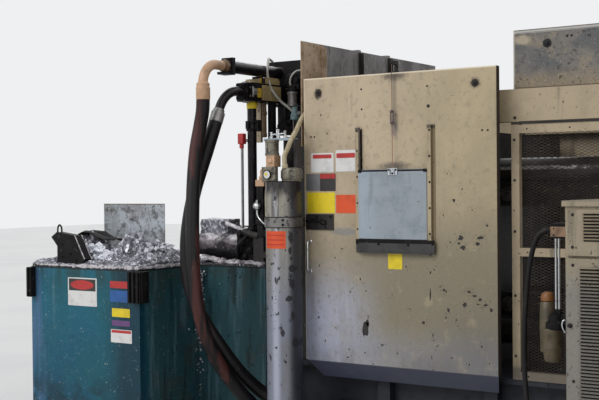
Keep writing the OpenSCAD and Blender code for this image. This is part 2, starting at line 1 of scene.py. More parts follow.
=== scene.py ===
"""Looks of a hot chamber die casting machine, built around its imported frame.

Metres, in the frame's axes: +X runs from the furnace to the clamp end and -Y is the operator side.
"""

import json
import math
import random

import bmesh
import bpy
from mathutils import Matrix, Vector, noise


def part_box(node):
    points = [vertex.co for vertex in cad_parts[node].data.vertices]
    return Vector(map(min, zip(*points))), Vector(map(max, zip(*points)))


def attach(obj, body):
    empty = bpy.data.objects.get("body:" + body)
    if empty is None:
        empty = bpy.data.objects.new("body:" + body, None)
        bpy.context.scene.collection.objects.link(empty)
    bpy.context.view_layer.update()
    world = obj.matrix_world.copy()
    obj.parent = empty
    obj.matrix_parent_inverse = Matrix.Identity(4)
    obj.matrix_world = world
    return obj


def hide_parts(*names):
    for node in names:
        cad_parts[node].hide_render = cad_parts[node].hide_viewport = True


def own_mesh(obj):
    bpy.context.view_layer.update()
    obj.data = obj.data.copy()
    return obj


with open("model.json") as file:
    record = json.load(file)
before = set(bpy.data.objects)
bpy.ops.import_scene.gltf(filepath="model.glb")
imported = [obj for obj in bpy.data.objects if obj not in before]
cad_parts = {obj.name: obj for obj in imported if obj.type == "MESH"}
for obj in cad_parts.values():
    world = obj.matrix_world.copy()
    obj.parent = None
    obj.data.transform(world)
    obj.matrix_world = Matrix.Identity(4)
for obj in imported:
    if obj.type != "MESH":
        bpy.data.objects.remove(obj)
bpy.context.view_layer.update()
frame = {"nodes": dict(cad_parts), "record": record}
NODES = frame["nodes"]
SCENE = bpy.context.scene
SCENE.view_settings.view_transform = "Standard"

# Camera, solved from the photograph's vanishing points
EYE = Vector((3.645, -6.577, 1.56))
YAW = math.radians(33.3)
PITCH = math.radians(-0.72)
ROLL = math.radians(-0.56)
LENS = 67.0
SENSOR = 36.0


def add_camera():
    """A camera where the photograph was taken from"""
    forward = Vector((-math.sin(YAW) * math.cos(PITCH), math.cos(YAW) * math.cos(PITCH), math.sin(PITCH)))
    right = Vector((math.cos(YAW), math.sin(YAW), 0))
    up = right.cross(forward)
    tilted = right * math.cos(ROLL) + up * math.sin(ROLL)
    up = up * math.cos(ROLL) - right * math.sin(ROLL)
    data = bpy.data.cameras.new("camera")
    data.lens = LENS
    data.sensor_width = SENSOR
    camera = bpy.data.objects.new("camera", data)
    camera.matrix_world = Matrix.Translation(EYE) @ Matrix((tilted, up, -forward)).transposed().to_4x4()
    SCENE.collection.objects.link(camera)
    SCENE.camera = camera


add_camera()


# Colours, written as the photograph's screen values
def tone(red, green, blue):
    """A screen colour from 0 to 255 as the linear values that Blender mixes"""
    values = [v / 255 for v in (red, green, blue)]
    return [v / 12.92 if v <= 0.04045 else ((v + 0.055) / 1.055) ** 2.4 for v in values]


# Places of a mix node's sockets: the two inputs and the output, for colours and for numbers
MIX_COLOURS = (6, 7, 2)
MIX_NUMBERS = (2, 3, 0)


class Finish:
    """A material built in layers from object coordinates: colour, roughness, metal and height"""

    def __init__(self, name, colour, rough=0.5, metal=0.0, specular=0.5):
        self.material = bpy.data.materials.new(name)
        self.material.use_nodes = True
        self.tree = self.material.node_tree
        self.shader = self.tree.nodes["Principled BSDF"]
        self.shader.inputs["Specular IOR Level"].default_value = specular
        self.point = self.node("ShaderNodeTexCoord").outputs["Object"]
        self.axes = None
        self.colour = tone(*colour)
        self.rough = rough
        self.metal = metal
        self.height = None

    def node(self, kind, **settings):
        """A new node with its settings"""
        made = self.tree.nodes.new(kind)
        for key, value in settings.items():
            setattr(made, key, value)
        return made

    def feed(self, value, socket):
        """Links or sets a value into a socket"""
        if isinstance(value, bpy.types.NodeSocket):
            self.tree.links.new(value, socket)
        elif isinstance(value, (list, tuple)) and len(socket.default_value) == 4:
            socket.default_value = (*value, 1)
        else:
            socket.default_value = value

    def math(self, kind, a, b=0.0):
        """A calculation with two values"""
        made = self.node("ShaderNodeMath", operation=kind)
        self.feed(a, made.inputs[0])
        self.feed(b, made.inputs[1])
        return made.outputs[0]

    def axis(self, letter):
        """The place along one axis"""
        if self.axes is None:
            self.axes = self.node("ShaderNodeSeparateXYZ")
            self.feed(self.point, self.axes.inputs[0])
        return self.axes.outputs[letter]

    def grain(self, scale, detail=5.0, rough=0.6, stretch=(1, 1, 1), place=0.0):
        """Noise from 0 to 1, stretched along the axes where stretch is small"""
        mapping = self.node("ShaderNodeMapping")
        self.feed(self.point, mapping.inputs[0])
        mapping.inputs["Location"].default_value = (place, place * 1.7, place * 2.3)
        mapping.inputs["Scale"].default_value = stretch
        made = self.node("ShaderNodeTexNoise")
        self.feed(mapping.outputs[0], made.inputs["Vector"])
        made.inputs["Scale"].default_value = scale
        made.inputs["Detail"].default_value = detail
        made.inputs["Roughness"].default_value = rough
        return made.outputs["Fac"]

    def cells(self, scale):
        """Distance to the middle of the nearest cell"""
        mapping = self.node("ShaderNodeMapping")
        self.feed(self.point, mapping.inputs[0])
        made = self.node("ShaderNodeTexVoronoi")
        self.feed(mapping.outputs[0], made.inputs["Vector"])
        made.inputs["Scale"].default_value = scale
        return made.outputs["Distance"]

    def span(self, value, low, high):
        """0 below low and 1 above high, eased between them; the other way round if low is above high"""
        made = self.node("ShaderNodeMapRange", interpolation_type="SMOOTHSTEP")
        self.feed(value, made.inputs["Value"])
        first, last = (low, high) if low < high else (high, low)
        made.inputs["From Min"].default_value = first
        made.inputs["From Max"].default_value = last
        made.inputs["To Min"].default_value = 0.0 if low < high else 1.0
        made.inputs["To Max"].default_value = 1.0 if low < high else 0.0
        return made.outputs["Result"]

    def times(self, *values):
        """The product of the values"""
        result = values[0]
        for value in values[1:]:
            result = self.math("MULTIPLY", result, value)
        return result

    def either(self, *values):
        """The largest of the values"""
        result = values[0]
        for value in values[1:]:
            result = self.math("MAXIMUM", result, value)
        return result

    def plus(self, a, b):
        """The sum of two values"""
        return self.math("ADD", a, b)

    def flip(self, value):
        """0 where the value is 1, and 1 where it is 0"""
        return self.math("SUBTRACT", 1.0, value)

    def within(self, letter, low, high, soft=0.01):
        """1 between two places along an axis, with soft edges"""
        place = self.axis(letter)
        return self.times(self.span(place, low - soft, low + soft),
                          self.span(place, high + soft, high - soft))

    def spot(self, centre, reach, soft=0.35, rag=0.0, rag_scale=40.0):
        """An elliptic mark along X and Z, ragged by noise"""
        a = self.math("DIVIDE", self.math("SUBTRACT", self.axis("X"), centre[0]), reach[0])
        b = self.math("DIVIDE", self.math("SUBTRACT", self.axis("Z"), centre[1]), reach[1])
        far = self.math("SQRT", self.plus(self.times(a, a), self.times(b, b)))
        if rag:
            far = self.plus(far, self.times(self.math("SUBTRACT", self.grain(rag_scale), 0.5), rag))
        return self.span(far, 1.0 + soft, 1.0 - soft)

    def edges(self, low=0.53, high=0.6):
        """Where the surface is convex, as on worn corners"""
        made = self.node("ShaderNodeNewGeometry")
        return self.span(made.outputs["Pointiness"], low, high)

    def mix(self, kind, sockets, mask, under, over):
        """One value where the mask is 0 and the other where it is 1"""
        made = self.node("ShaderNodeMix", data_type=kind)
        self.feed(mask, made.inputs["Factor"])
        self.feed(under, made.inputs[sockets[0]])
        self.feed(over, made.inputs[sockets[1]])
        return made.outputs[sockets[2]]

    def layer(self, mask, colour, rough=None, metal=None, amount=1.0):
        """Lays a colour, a roughness or metal over what is there, where the mask is 1"""
        if amount != 1.0:
            mask = self.times(mask, amount)
        self.colour = self.mix("RGBA", MIX_COLOURS, mask, self.colour, tone(*colour))
        if rough is not None:
            self.rough = self.mix("FLOAT", MIX_NUMBERS, mask, self.rough, rough)
        if metal is not None:
            self.metal = self.mix("FLOAT", MIX_NUMBERS, mask, self.metal, metal)
        return self

    def patches(self, noise, span, stretch=(1, 1, 1), place=0.0):
        """1 where noise, given by scale, detail and roughness, is past the span, and 0 before it"""
        return self.span(self.grain(*noise, stretch=stretch, place=place), *span)

    def mottle(self, noise, span, colour, rough=None, metal=None, amount=1.0, stretch=(1, 1, 1), place=0.0):
        """A layer in patches"""
        return self.layer(self.patches(noise, span, stretch, place), colour, rough, metal, amount)

    def fade(self, letter, low, high, colour, rough=None, metal=None, amount=1.0):
        """A layer that comes in along an axis, from the first place to the second"""
        return self.layer(self.span(self.axis(letter), low, high), colour, rough, metal, amount)

    def relief(self, height, depth):
        """Adds a height in metres to the surface"""
        height = self.times(height, depth)
        self.height = height if self.height is None else self.plus(self.height, height)
        return self

    def done(self):
        """Joins the layers to the shader and gives the material"""
        self.feed(self.colour, self.shader.inputs["Base Color"])
        self.feed(self.rough, self.shader.inputs["Roughness"])
        self.feed(self.metal, self.shader.inputs["Metallic"])
        if self.height is not None:
            bump = self.node("ShaderNodeBump")
            bump.inputs["Distance"].default_value = 1.0
            self.feed(self.height, bump.inputs["Height"])
            self.feed(bump.outputs[0], self.shader.inputs["Normal"])
        return self.material


# Materials
def dark_steel():
    """Dark oily steel of frames, bolts and fittings"""
    f = Finish("dark_steel", (34, 32, 32), rough=0.55, specular=0.25)
    f.mottle((3, 6), (0.42, 0.68), (56, 52, 48), rough=0.7, stretch=(1, 1, 0.5))
    f.mottle((9, 8), (0.52, 0.62), (18, 16, 17), rough=0.35, amount=0.8, stretch=(1, 1, 0.15), place=3)
    f.mottle((45, 6), (0.62, 0.68), (92, 76, 60), rough=0.8, amount=0.7, place=5)
    return f.relief(f.grain(60, 6), 0.0006).done()


def cast_platen():
    """Platens: dark cast iron with greasy streaks"""
    f = Finish("cast_platen", (46, 45, 44), rough=0.55, specular=0.25)
    f.mottle((4, 6), (0.45, 0.7), (34, 33, 33), rough=0.6)
    f.mottle((7, 7), (0.52, 0.66), (22, 20, 19), rough=0.4, amount=0.85, stretch=(1, 1, 0.12), place=4)
    f.mottle((70, 5), (0.64, 0.7), (140, 140, 136), rough=0.4, metal=0.5, amount=0.6, place=8)
    return f.relief(f.grain(90, 4), 0.0005).done()


def bright_steel():
    """Worn bright steel"""
    f = Finish("bright_steel", (128, 125, 123), rough=0.38, metal=0.7)
    f.mottle((6, 6), (0.45, 0.7), (84, 80, 76), rough=0.45, stretch=(0.2, 1, 1))
    f.mottle((16, 7), (0.50, 0.62), (46, 40, 36), rough=0.65, metal=0.1, amount=0.85, place=2)
    return f.relief(f.grain(120, 3, stretch=(0.1, 1, 1)), 0.0002).done()


def beige_paint():
    """Guard frames, beams and the rear panel: beige enamel, dull and stained"""
    f = Finish("beige_paint", (168, 151, 124), rough=0.45)
    f.mottle((3.2, 6), (0.4, 0.72), (140, 126, 102), rough=0.55)
    f.mottle((11, 8), (0.55, 0.68), (92, 82, 68), amount=0.7, stretch=(1, 1, 0.1), place=6)
    f.mottle((38, 7), (0.62, 0.67), (58, 50, 44), rough=0.7, amount=0.9, place=9)
    f.mottle((90, 4), (0.66, 0.7), (46, 40, 36), amount=0.8, place=11)
    f.fade("Z", 0.575, 0.545, (82, 76, 69), rough=0.6, amount=0.8)
    return f.relief(f.grain(40, 5), 0.0004).done()


def cover_paint():
    """Top box: grey beige enamel, blotched, with crusty stains near its lower edge, a pale band along its top
    edge and a painted highlight on its left front edge
    """
    low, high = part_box("top_cover")
    f = Finish("cover_paint", (112, 107, 101), rough=0.6, specular=0.4)
    f.mottle((4.2, 7, 0.65), (0.42, 0.60), (92, 92, 92), rough=0.7)
    f.mottle((9, 8, 0.7), (0.53, 0.64), (142, 128, 108), amount=0.65, place=3)
    f.mottle((30, 8, 0.75), (0.5, 0.62), (76, 76, 78), amount=0.6, place=19)
    f.fade("Z", low.z + 0.14, low.z + 0.02, (146, 130, 106), amount=0.6)
    crust = f.times(f.patches((16, 9, 0.75), (0.5, 0.62), place=7),
                    f.within("Z", low.z + 0.012, low.z + 0.075))
    f.layer(crust, (172, 156, 126), rough=0.9, amount=0.75)
    f.mottle((70, 6), (0.60, 0.66), (52, 48, 46), amount=0.8, place=1)
    f.mottle((22, 8), (0.63, 0.67), (60, 53, 48), amount=0.8, place=13)
    f.mottle((90, 5), (0.64, 0.68), (196, 190, 180), amount=0.6, place=31)
    f.layer(f.within("Z", high.z - 0.020, high.z - 0.006, 0.003), (190, 186, 180), rough=0.5, amount=0.8)
    # Painted highlight on the left front edge
    edge = f.times(f.span(f.axis("X"), low.x + 0.012, low.x + 0.002),
                   f.span(f.axis("Y"), low.y + 0.012, low.y + 0.006))
    f.layer(edge, (196, 188, 172), amount=0.7)
    f.layer(f.spot((1.32, 2.345), (0.05, 0.025), rag=0.7), (174, 160, 138), amount=0.8)
    return f.relief(f.grain(30, 7), 0.0009).relief(crust, 0.002).done()


def door_paint():
    """Door: beige enamel, olive to the right and dark blue grey along its bottom edge, dull with specks and
    drips; painted shade darkens it downwards, in the middle and low on the right, painted bluish light lies
    low on the left, its top edge is pale with wear and a painted highlight, and its right side face is
    painted dark as shade
    """
    low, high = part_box("safety_door")
    cable_low, cable_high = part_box("hatch_cable")
    cable_x = (cable_low.x + cable_high.x) / 2
    f = Finish("door_paint", (186, 168, 142), rough=0.45, specular=0.4)
    f.fade("X", low.x + 0.3, high.x, (168, 153, 120), amount=0.7)
    # Painted shade: darker downwards, in the middle and to a grey blue lower down
    f.fade("Z", 1.55, 0.9, (136, 130, 116), amount=0.8)
    middle = f.times(f.within("X", 0.35, 1.4, 0.25), f.within("Z", 0.62, 1.35, 0.22))
    f.layer(middle, (112, 105, 84), amount=0.62)
    f.fade("Z", 0.80, 0.58, (128, 129, 136), amount=0.7)
    # Painted light: a bluish sky light low on the left
    lower_left = f.times(f.span(f.axis("X"), 0.62, 0.05), f.span(f.axis("Z"), 1.2, 0.8))
    f.layer(lower_left, (172, 182, 212), rough=0.5, amount=0.78)
    # Painted shade low on the right
    f.layer(f.times(f.span(f.axis("X"), 0.6, 1.15), f.span(f.axis("Z"), 0.95, 0.6)), (92, 90, 90), amount=0.5)
    cloud = f.patches((2.6, 6, 0.6), (0.42, 0.66), stretch=(1, 1, 0.6))
    f.layer(cloud, (134, 122, 100), rough=0.5, amount=0.35)
    f.mottle((9, 8, 0.65), (0.55, 0.7), (184, 168, 136), amount=0.3, place=2)
    f.mottle((26, 8, 0.7), (0.52, 0.66), (122, 112, 96), amount=0.4, place=12)
    streak = f.times(f.patches((15, 7, 0.6), (0.53, 0.66), stretch=(1, 1, 0.06), place=7),
                     f.patches((3, 4), (0.42, 0.6), place=9))
    f.layer(streak, (116, 108, 94), rough=0.36, amount=0.45)
    bottom = f.times(f.span(f.axis("Z"), 0.66, 0.53),
                     f.patches((7, 7), (0.4, 0.6), stretch=(1, 1, 0.35), place=4))
    f.layer(bottom, (98, 96, 100), amount=0.5)
    wet = f.times(f.within("X", cable_x - 0.012, cable_x + 0.012, 0.012), f.span(f.axis("Z"), 1.86, 1.96))
    f.layer(wet, (112, 104, 96), rough=0.3, amount=0.6)
    drip = f.spot((cable_x, 1.885), (0.022, 0.05), soft=0.6, rag=0.9, rag_scale=60)
    f.layer(drip, (84, 76, 88), amount=0.6)
    stain = f.spot((cable_x, 2.188), (0.075, 0.030), soft=0.6, rag=1.3, rag_scale=60)
    f.layer(stain, (64, 56, 52), amount=0.8)
    stain = f.spot((cable_x, 1.668), (0.085, 0.022), soft=0.6, rag=1.4, rag_scale=60)
    f.layer(stain, (74, 68, 66), amount=0.75)
    grease = f.spot((0.101, 2.106), (0.026, 0.030), soft=0.5, rag=1.2, rag_scale=60)
    f.layer(grease, (40, 33, 28), rough=0.3)
    grease = f.spot((1.112, 2.113), (0.030, 0.026), soft=0.5, rag=1.2, rag_scale=60)
    f.layer(grease, (60, 52, 44), rough=0.3, amount=0.8)
    smear = f.spot((0.275, 1.288), (0.085, 0.022), soft=0.4, rag=1.1, rag_scale=45)
    f.layer(smear, (128, 126, 124), amount=0.8)
    chips = f.times(f.patches((70, 6, 0.65), (0.635, 0.665), place=5),
                    f.patches((5, 3), (0.42, 0.6), place=8))
    f.layer(chips, (70, 62, 54), rough=0.65, amount=0.85)
    specks = f.patches((150, 4, 0.6), (0.66, 0.70), place=15)
    f.layer(specks, (74, 66, 60), amount=0.7)
    pale = f.patches((120, 4, 0.6), (0.68, 0.72), place=25)
    f.layer(pale, (214, 202, 180), amount=0.6)
    # Pale top edge: partly worn paint, partly a painted highlight
    f.layer(f.within("Z", high.z - 0.007, high.z + 0.01, 0.003), (228, 214, 190), amount=0.8)
    f.layer(f.within("X", low.x - 0.01, low.x + 0.006, 0.002), (206, 190, 164), amount=0.6)
    # Painted shade on the door's right side face
    side = f.times(f.span(f.axis("X"), high.x - 0.003, high.x - 0.001),
                   f.span(f.axis("Y"), low.y + 0.003, low.y + 0.006))
    f.layer(side, (46, 36, 31), rough=0.6)
    f.fade("Z", 0.522, 0.512, (60, 66, 86), rough=0.5, amount=0.88)
    return f.relief(f.grain(5, 3), 0.0012).relief(f.grain(45, 4), 0.0003).relief(chips, -0.0005).done()


# Chips on the accumulator's near side: place along X and Z, half width and half height
ACC_CHIPS = [(0.019, 1.260, 0.008, 0.034), (0.016, 1.182, 0.007, 0.020), (0.022, 1.077, 0.012, 0.022),
             (0.021, 0.989, 0.009, 0.026), (0.010, 0.900, 0.014, 0.018), (0.024, 0.800, 0.006, 0.026),
             (-0.060, 1.010, 0.006, 0.016), (-0.085, 0.905, 0.005, 0.012), (-0.020, 0.700, 0.012, 0.020),
             (0.020, 1.135, 0.004, 0.012), (0.018, 1.030, 0.004, 0.014), (0.030, 0.640, 0.008, 0.030)]


def galvanised():
    """Galvanised steel: grey, with dull crystals, streaks and stains"""
    f = Finish("galvanised", (142, 150, 156), rough=0.42, metal=0.3)
    f.mottle((7, 6, 0.6), (0.42, 0.66), (124, 132, 140), rough=0.5)
    f.fade("X", 0.56, 0.40, (158, 172, 186), amount=0.6)
    f.layer(f.span(f.cells(55), 0.1, 0.75), (150, 158, 164), rough=0.36, amount=0.3)
    f.mottle((20, 8), (0.54, 0.68), (112, 116, 116), amount=0.5, stretch=(1, 1, 0.12), place=4)
    f.mottle((40, 7), (0.66, 0.7), (84, 80, 74), amount=0.7, place=6)
    return f.relief(f.grain(9, 3), 0.0008).done()


def sheet_grey():
    """Rear sheet of the side guard: dull galvanised steel, dark and smeared"""
    f = Finish("sheet_grey", (120, 115, 114), rough=0.5, metal=0.2)
    f.mottle((5, 7, 0.65), (0.42, 0.64), (86, 82, 82), rough=0.6)
    f.mottle((12, 8, 0.7), (0.54, 0.68), (146, 144, 144), rough=0.45, amount=0.7, place=5)
    f.mottle((24, 8), (0.56, 0.68), (64, 56, 48), amount=0.75, stretch=(1, 1, 0.15), place=3)
    f.mottle((46, 8, 0.7), (0.60, 0.65), (36, 33, 34), amount=0.85, place=13)
    return f.relief(f.grain(8, 4), 0.0012).done()


def splash_sheet():
    """Upright panel on the furnace: grey sheet, brighter to the right and caked grey brown low down"""
    low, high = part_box("splash_panel")
    f = Finish("splash_sheet", (180, 186, 194), rough=0.55, metal=0.1)
    f.fade("X", low.x + 0.3, low.x + 0.02, (120, 126, 128), amount=0.75)
    f.mottle((6, 8, 0.7), (0.46, 0.62), (132, 132, 134), rough=0.75, amount=0.8)
    f.mottle((14, 9, 0.75), (0.5, 0.60), (86, 84, 82), rough=0.9, amount=0.8, place=4)
    f.mottle((34, 8, 0.75), (0.56, 0.62), (52, 50, 50), rough=0.9, amount=0.8, place=9)
    f.layer(f.times(f.span(f.axis("Z"), 1.33, 1.12), f.patches((9, 8, 0.7), (0.36, 0.52), place=8)),
            (86, 84, 82), rough=0.95, amount=0.85)
    f.mottle((60, 6, 0.6), (0.60, 0.66), (206, 210, 216), amount=0.7, place=14)
    f.layer(f.within("Z", high.z - 0.008, high.z + 0.01, 0.003), (104, 92, 78), amount=0.7)
    return f.relief(f.grain(22, 8, 0.7), 0.003).done()


def rusty_sheet():
    """Brown rusty sheet of the side guard"""
    f = Finish("rusty_sheet", (176, 152, 126), rough=0.6)
    f.mottle((8, 8, 0.7), (0.42, 0.64), (138, 112, 84), rough=0.75)
    f.mottle((20, 9, 0.7), (0.54, 0.66), (172, 150, 122), amount=0.6, place=3)
    f.mottle((34, 8), (0.6, 0.67), (70, 56, 44), amount=0.85, place=6)
    return f.relief(f.grain(40, 6), 0.0008).done()


def rail_paint():
    """Guide rails of the hatch: beige, with painted shade inside the left one, and the right one olive
    outside its lip
    """
    low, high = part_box("hatch_rails")
    f = Finish("rail_paint", (168, 152, 124), rough=0.5)
    f.mottle((14, 8, 0.7), (0.46, 0.64), (140, 124, 100), rough=0.6, stretch=(1, 1, 0.4))
    # Painted shade inside the left rail's channel
    f.layer(f.within("X", low.x + 0.031, low.x + 0.2, 0.001), (44, 33, 27), rough=0.55, amount=0.95)
    f.fade("X", high.x - 0.022, high.x - 0.020, (122, 107, 78), rough=0.55, amount=0.95)
    f.layer(f.within("X", high.x - 0.024, high.x - 0.021, 0.0005), (190, 174, 148), amount=0.8)
    f.mottle((40, 7), (0.62, 0.68), (70, 60, 50), amount=0.8, place=4)
    f.fade("Z", high.z - 0.03, high.z - 0.012, (52, 44, 38), amount=0.85)
    f.fade("Z", low.z + 0.10, low.z + 0.02, (74, 68, 60), amount=0.8)
    return f.relief(f.grain(60, 5), 0.0004).done()


def mesh_steel():
    """Expanded mesh: brown steel with worn spots"""
    f = Finish("mesh_steel", (62, 54, 47), rough=0.55, specular=0.25)
    f.mottle((18, 6), (0.45, 0.65), (40, 34, 31), rough=0.5)
    f.mottle((70, 5), (0.60, 0.66), (134, 118, 98), amount=0.6, place=4)
    return f.done()


def chrome():
    """Chrome, a little stained"""
    f = Finish("chrome", (196, 198, 200), rough=0.14, metal=1.0)
    f.mottle((25, 6), (0.52, 0.7), (150, 148, 144), rough=0.3)
    return f.done()


def accumulator_paint():
    """Accumulator: chipped cream enamel, blue grey low down, greasy black near its cap, with a painted
    highlight stripe down its front and painted shade on its right side
    """
    low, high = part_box("accumulator")
    x = (low.x + high.x) / 2
    f = Finish("accumulator_paint", (150, 145, 134), rough=0.36, specular=0.4)
    f.fade("Z", 1.40, 0.75, (112, 118, 136), amount=0.85)
    f.mottle((9, 7, 0.65), (0.44, 0.6), (112, 109, 106), rough=0.32, amount=0.55, stretch=(1, 1, 0.25))
    # Painted highlight: a pale bluish stripe down the front of the cylinder
    light = f.times(f.within("X", x - 0.010, x + 0.030, 0.016),
                    f.patches((8, 6), (0.4, 0.6), stretch=(1, 1, 0.2), place=3))
    f.layer(light, (186, 188, 204), amount=0.55)
    # Painted shade on the cylinder's right side
    side = f.span(f.axis("X"), x + 0.070, x + 0.1)
    f.layer(side, (34, 36, 46), rough=0.3, amount=0.9)
    z = f.axis("Z")
    ragged = f.math("SUBTRACT", f.grain(12, 5, stretch=(1, 1, 0.2), place=7), 0.5)
    top = f.plus(z, f.times(ragged, 0.35))
    f.layer(f.span(top, high.z - 0.12, high.z - 0.04), (22, 18, 20), rough=0.25, amount=0.92)
    drip = f.times(f.patches((22, 7), (0.55, 0.63), stretch=(1, 1, 0.06), place=6),
                   f.span(f.axis("Z"), 1.0, 1.4))
    f.layer(drip, (60, 54, 50), rough=0.25, amount=0.7)
    chips = f.patches((26, 6, 0.65), (0.60, 0.62), stretch=(1, 1, 0.7), place=12)
    for at_x, at_z, wide, tall in ACC_CHIPS:
        chips = f.either(chips, f.spot((at_x, at_z), (wide, tall), soft=0.2, rag=1.2, rag_scale=60))
    f.layer(chips, (26, 25, 30), rough=0.5, amount=0.95)
    f.mottle((80, 5), (0.65, 0.68), (50, 46, 46), amount=0.9, place=2)
    return f.relief(f.grain(30, 5), 0.0006).relief(chips, -0.0008).done()


def valve_steel():
    """Valve blocks: greasy grey steel"""
    f = Finish("valve_steel", (124, 118, 102), rough=0.45, metal=0.1)
    f.mottle((16, 7, 0.65), (0.45, 0.62), (90, 84, 74), rough=0.35)
    f.mottle((28, 8), (0.54, 0.64), (44, 39, 34), rough=0.25, amount=0.85, place=5)
    f.mottle((60, 6), (0.62, 0.68), (184, 178, 160), amount=0.6, place=9)
    return f.relief(f.grain(60, 5), 0.0006).done()


def pale_hose():
    """Pale hose and the fittings in its colour"""
    f = Finish("pale_hose", (176, 164, 134), rough=0.55)
    f.mottle((20, 6), (0.46, 0.64), (150, 136, 106), rough=0.6)
    f.mottle((40, 6), (0.6, 0.68), (92, 80, 62), amount=0.7, place=3)
    return f.relief(f.grain(80, 4), 0.0004).done()


def splashed_steel():
    """Bars, gooseneck and furnace top: dark steel under bright metal splashes"""
    f = Finish("splashed_steel", (58, 55, 58), rough=0.55, metal=0.2, specular=0.4)
    f.mottle((7, 7, 0.65), (0.44, 0.62), (38, 35, 37), rough=0.65)
    splash = f.patches((19, 9, 0.75), (0.52, 0.58), place=5)
    f.layer(splash, (150, 146, 152), rough=0.4, metal=0.5, amount=0.85)
    f.mottle((60, 6), (0.60, 0.64), (224, 220, 224), rough=0.3, metal=0.4, amount=0.85, place=9)
    return f.relief(splash, 0.003).relief(f.grain(50, 6), 0.0012).done()


def bar_crust():
    """Shot frame bars: grey crust, with a bright top that is partly metal splashes and partly a painted
    highlight, and painted shade underneath
    """
    low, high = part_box("shot_bars")
    middle = (low.z + high.z) / 2
    f = Finish("bar_crust", (50, 47, 50), rough=0.5, metal=0.1, specular=0.3)
    # Grey patches over the upper half: partly crust, partly painted light on the bar's lit side
    f.layer(f.times(f.span(f.axis("Z"), middle - 0.03, middle + 0.03), f.patches((14, 8, 0.7), (0.44, 0.58))),
            (112, 106, 110), rough=0.55)
    # Bright top: partly metal splashes, partly a painted highlight
    bright = f.times(f.span(f.axis("Z"), middle + 0.028, middle + 0.055),
                     f.patches((15, 8, 0.75), (0.42, 0.56), place=6))
    f.layer(bright, (214, 208, 212), rough=0.45, amount=0.8)
    f.mottle((50, 6), (0.62, 0.66), (176, 172, 178), amount=0.6, place=9)
    # Painted shade under the bar
    f.fade("Z", middle - 0.01, middle - 0.045, (20, 18, 20), amount=0.8)
    return f.relief(f.grain(40, 7), 0.0015).done()


def black_grease():
    """Parts under black grease"""
    f = Finish("black_grease", (16, 14, 15), rough=0.5, specular=0.14)
    f.mottle((9, 7, 0.65), (0.46, 0.64), (27, 24, 25), rough=0.55)
    f.mottle((26, 8), (0.60, 0.68), (80, 73, 70), rough=0.6, amount=0.55, place=4)
    return f.relief(f.grain(35, 6), 0.0010).done()


def hose_rubber():
    """Hoses: satin black with pale scuffs, and painted red brown highlight streaks on those by the furnace"""
    f = Finish("hose_rubber", (16, 13, 15), rough=0.45, specular=0.25)
    f.mottle((7, 6), (0.46, 0.64), (26, 22, 24), rough=0.5, stretch=(1, 1, 0.4))
    near = f.times(f.span(f.axis("Y"), -1.16, -1.20), f.span(f.axis("X"), 0.3, 0.2))
    # Painted highlight: red brown streaks along the hoses by the furnace
    painted_highlight_line = f.times(f.patches((11, 7), (0.50, 0.60), stretch=(1, 1, 0.07), place=3), near)
    f.layer(painted_highlight_line, (80, 42, 38), rough=0.5, amount=0.7)
    f.mottle((48, 7), (0.65, 0.69), (96, 88, 86), rough=0.6, amount=0.6, place=6)
    return f.relief(f.grain(120, 3), 0.0003).done()


def furnace_paint():
    """Furnace: teal enamel, bluish in the middle and dark green at the corners, streaked and stained, with
    painted shade on the faces behind the well's front
    """
    low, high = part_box("charging_well")
    f = Finish("furnace_paint", (18, 90, 110), rough=0.45, specular=0.3)
    f.fade("Z", 0.95, 0.25, (6, 68, 92), amount=0.8)
    f.mottle((2.6, 6, 0.6), (0.42, 0.62), (14, 80, 90), amount=0.7)
    f.mottle((22, 7, 0.7), (0.5, 0.68), (40, 104, 116), amount=0.5, place=17)
    f.layer(f.times(f.span(f.axis("Z"), 0.86, 1.02),
                    f.patches((8, 6), (0.36, 0.58), stretch=(1, 1, 0.3), place=6)), (30, 62, 60),
            amount=0.8)
    pale = f.times(f.span(f.axis("X"), low.x + 0.28, low.x + 0.05),
                   f.patches((14, 7), (0.42, 0.6), stretch=(1, 1, 0.08)))
    f.layer(pale, (72, 100, 134), amount=0.75)
    streak = f.patches((20, 8, 0.65), (0.56, 0.64), stretch=(1, 1, 0.05), place=4)
    f.layer(f.times(streak, f.span(f.axis("Z"), 0.2, 0.9)), (84, 116, 130), rough=0.5, amount=0.45)
    f.layer(f.times(f.span(f.axis("Z"), 0.42, 0.2), f.patches((9, 7), (0.4, 0.6), place=8)), (14, 44, 54),
            amount=0.8)
    # Painted shade: the faces behind the well's front are darker
    shade = f.span(f.axis("Y"), low.y + 0.02, low.y + 0.12)
    f.layer(shade, (40, 66, 68), amount=0.78)
    f.layer(f.times(shade, f.patches((6, 7), (0.5, 0.64), place=2)), (56, 58, 56), amount=0.6)
    f.layer(f.times(f.flip(shade), f.span(f.axis("X"), -1.26, -1.06)), (3, 42, 56), amount=0.85)
    drips = f.times(shade, f.patches((13, 8, 0.7), (0.50, 0.62), stretch=(1, 1, 0.1), place=21))
    f.layer(drips, (78, 108, 116), rough=0.5, amount=0.55)
    drips = f.times(shade, f.patches((11, 8, 0.7), (0.52, 0.62), stretch=(1, 1, 0.12), place=27))
    f.layer(drips, (10, 24, 26), amount=0.7)
    f.mottle((75, 5), (0.665, 0.69), (170, 178, 178), amount=0.8, place=11)
    f.mottle((30, 7), (0.63, 0.67), (12, 28, 32), amount=0.8, place=14)
    f.layer(f.within("Z", high.z - 0.010, high.z + 0.01, 0.004), (20, 26, 26), amount=0.9)
    return f.relief(f.grain(4, 3), 0.002).relief(f.grain(45, 5), 0.0004).done()


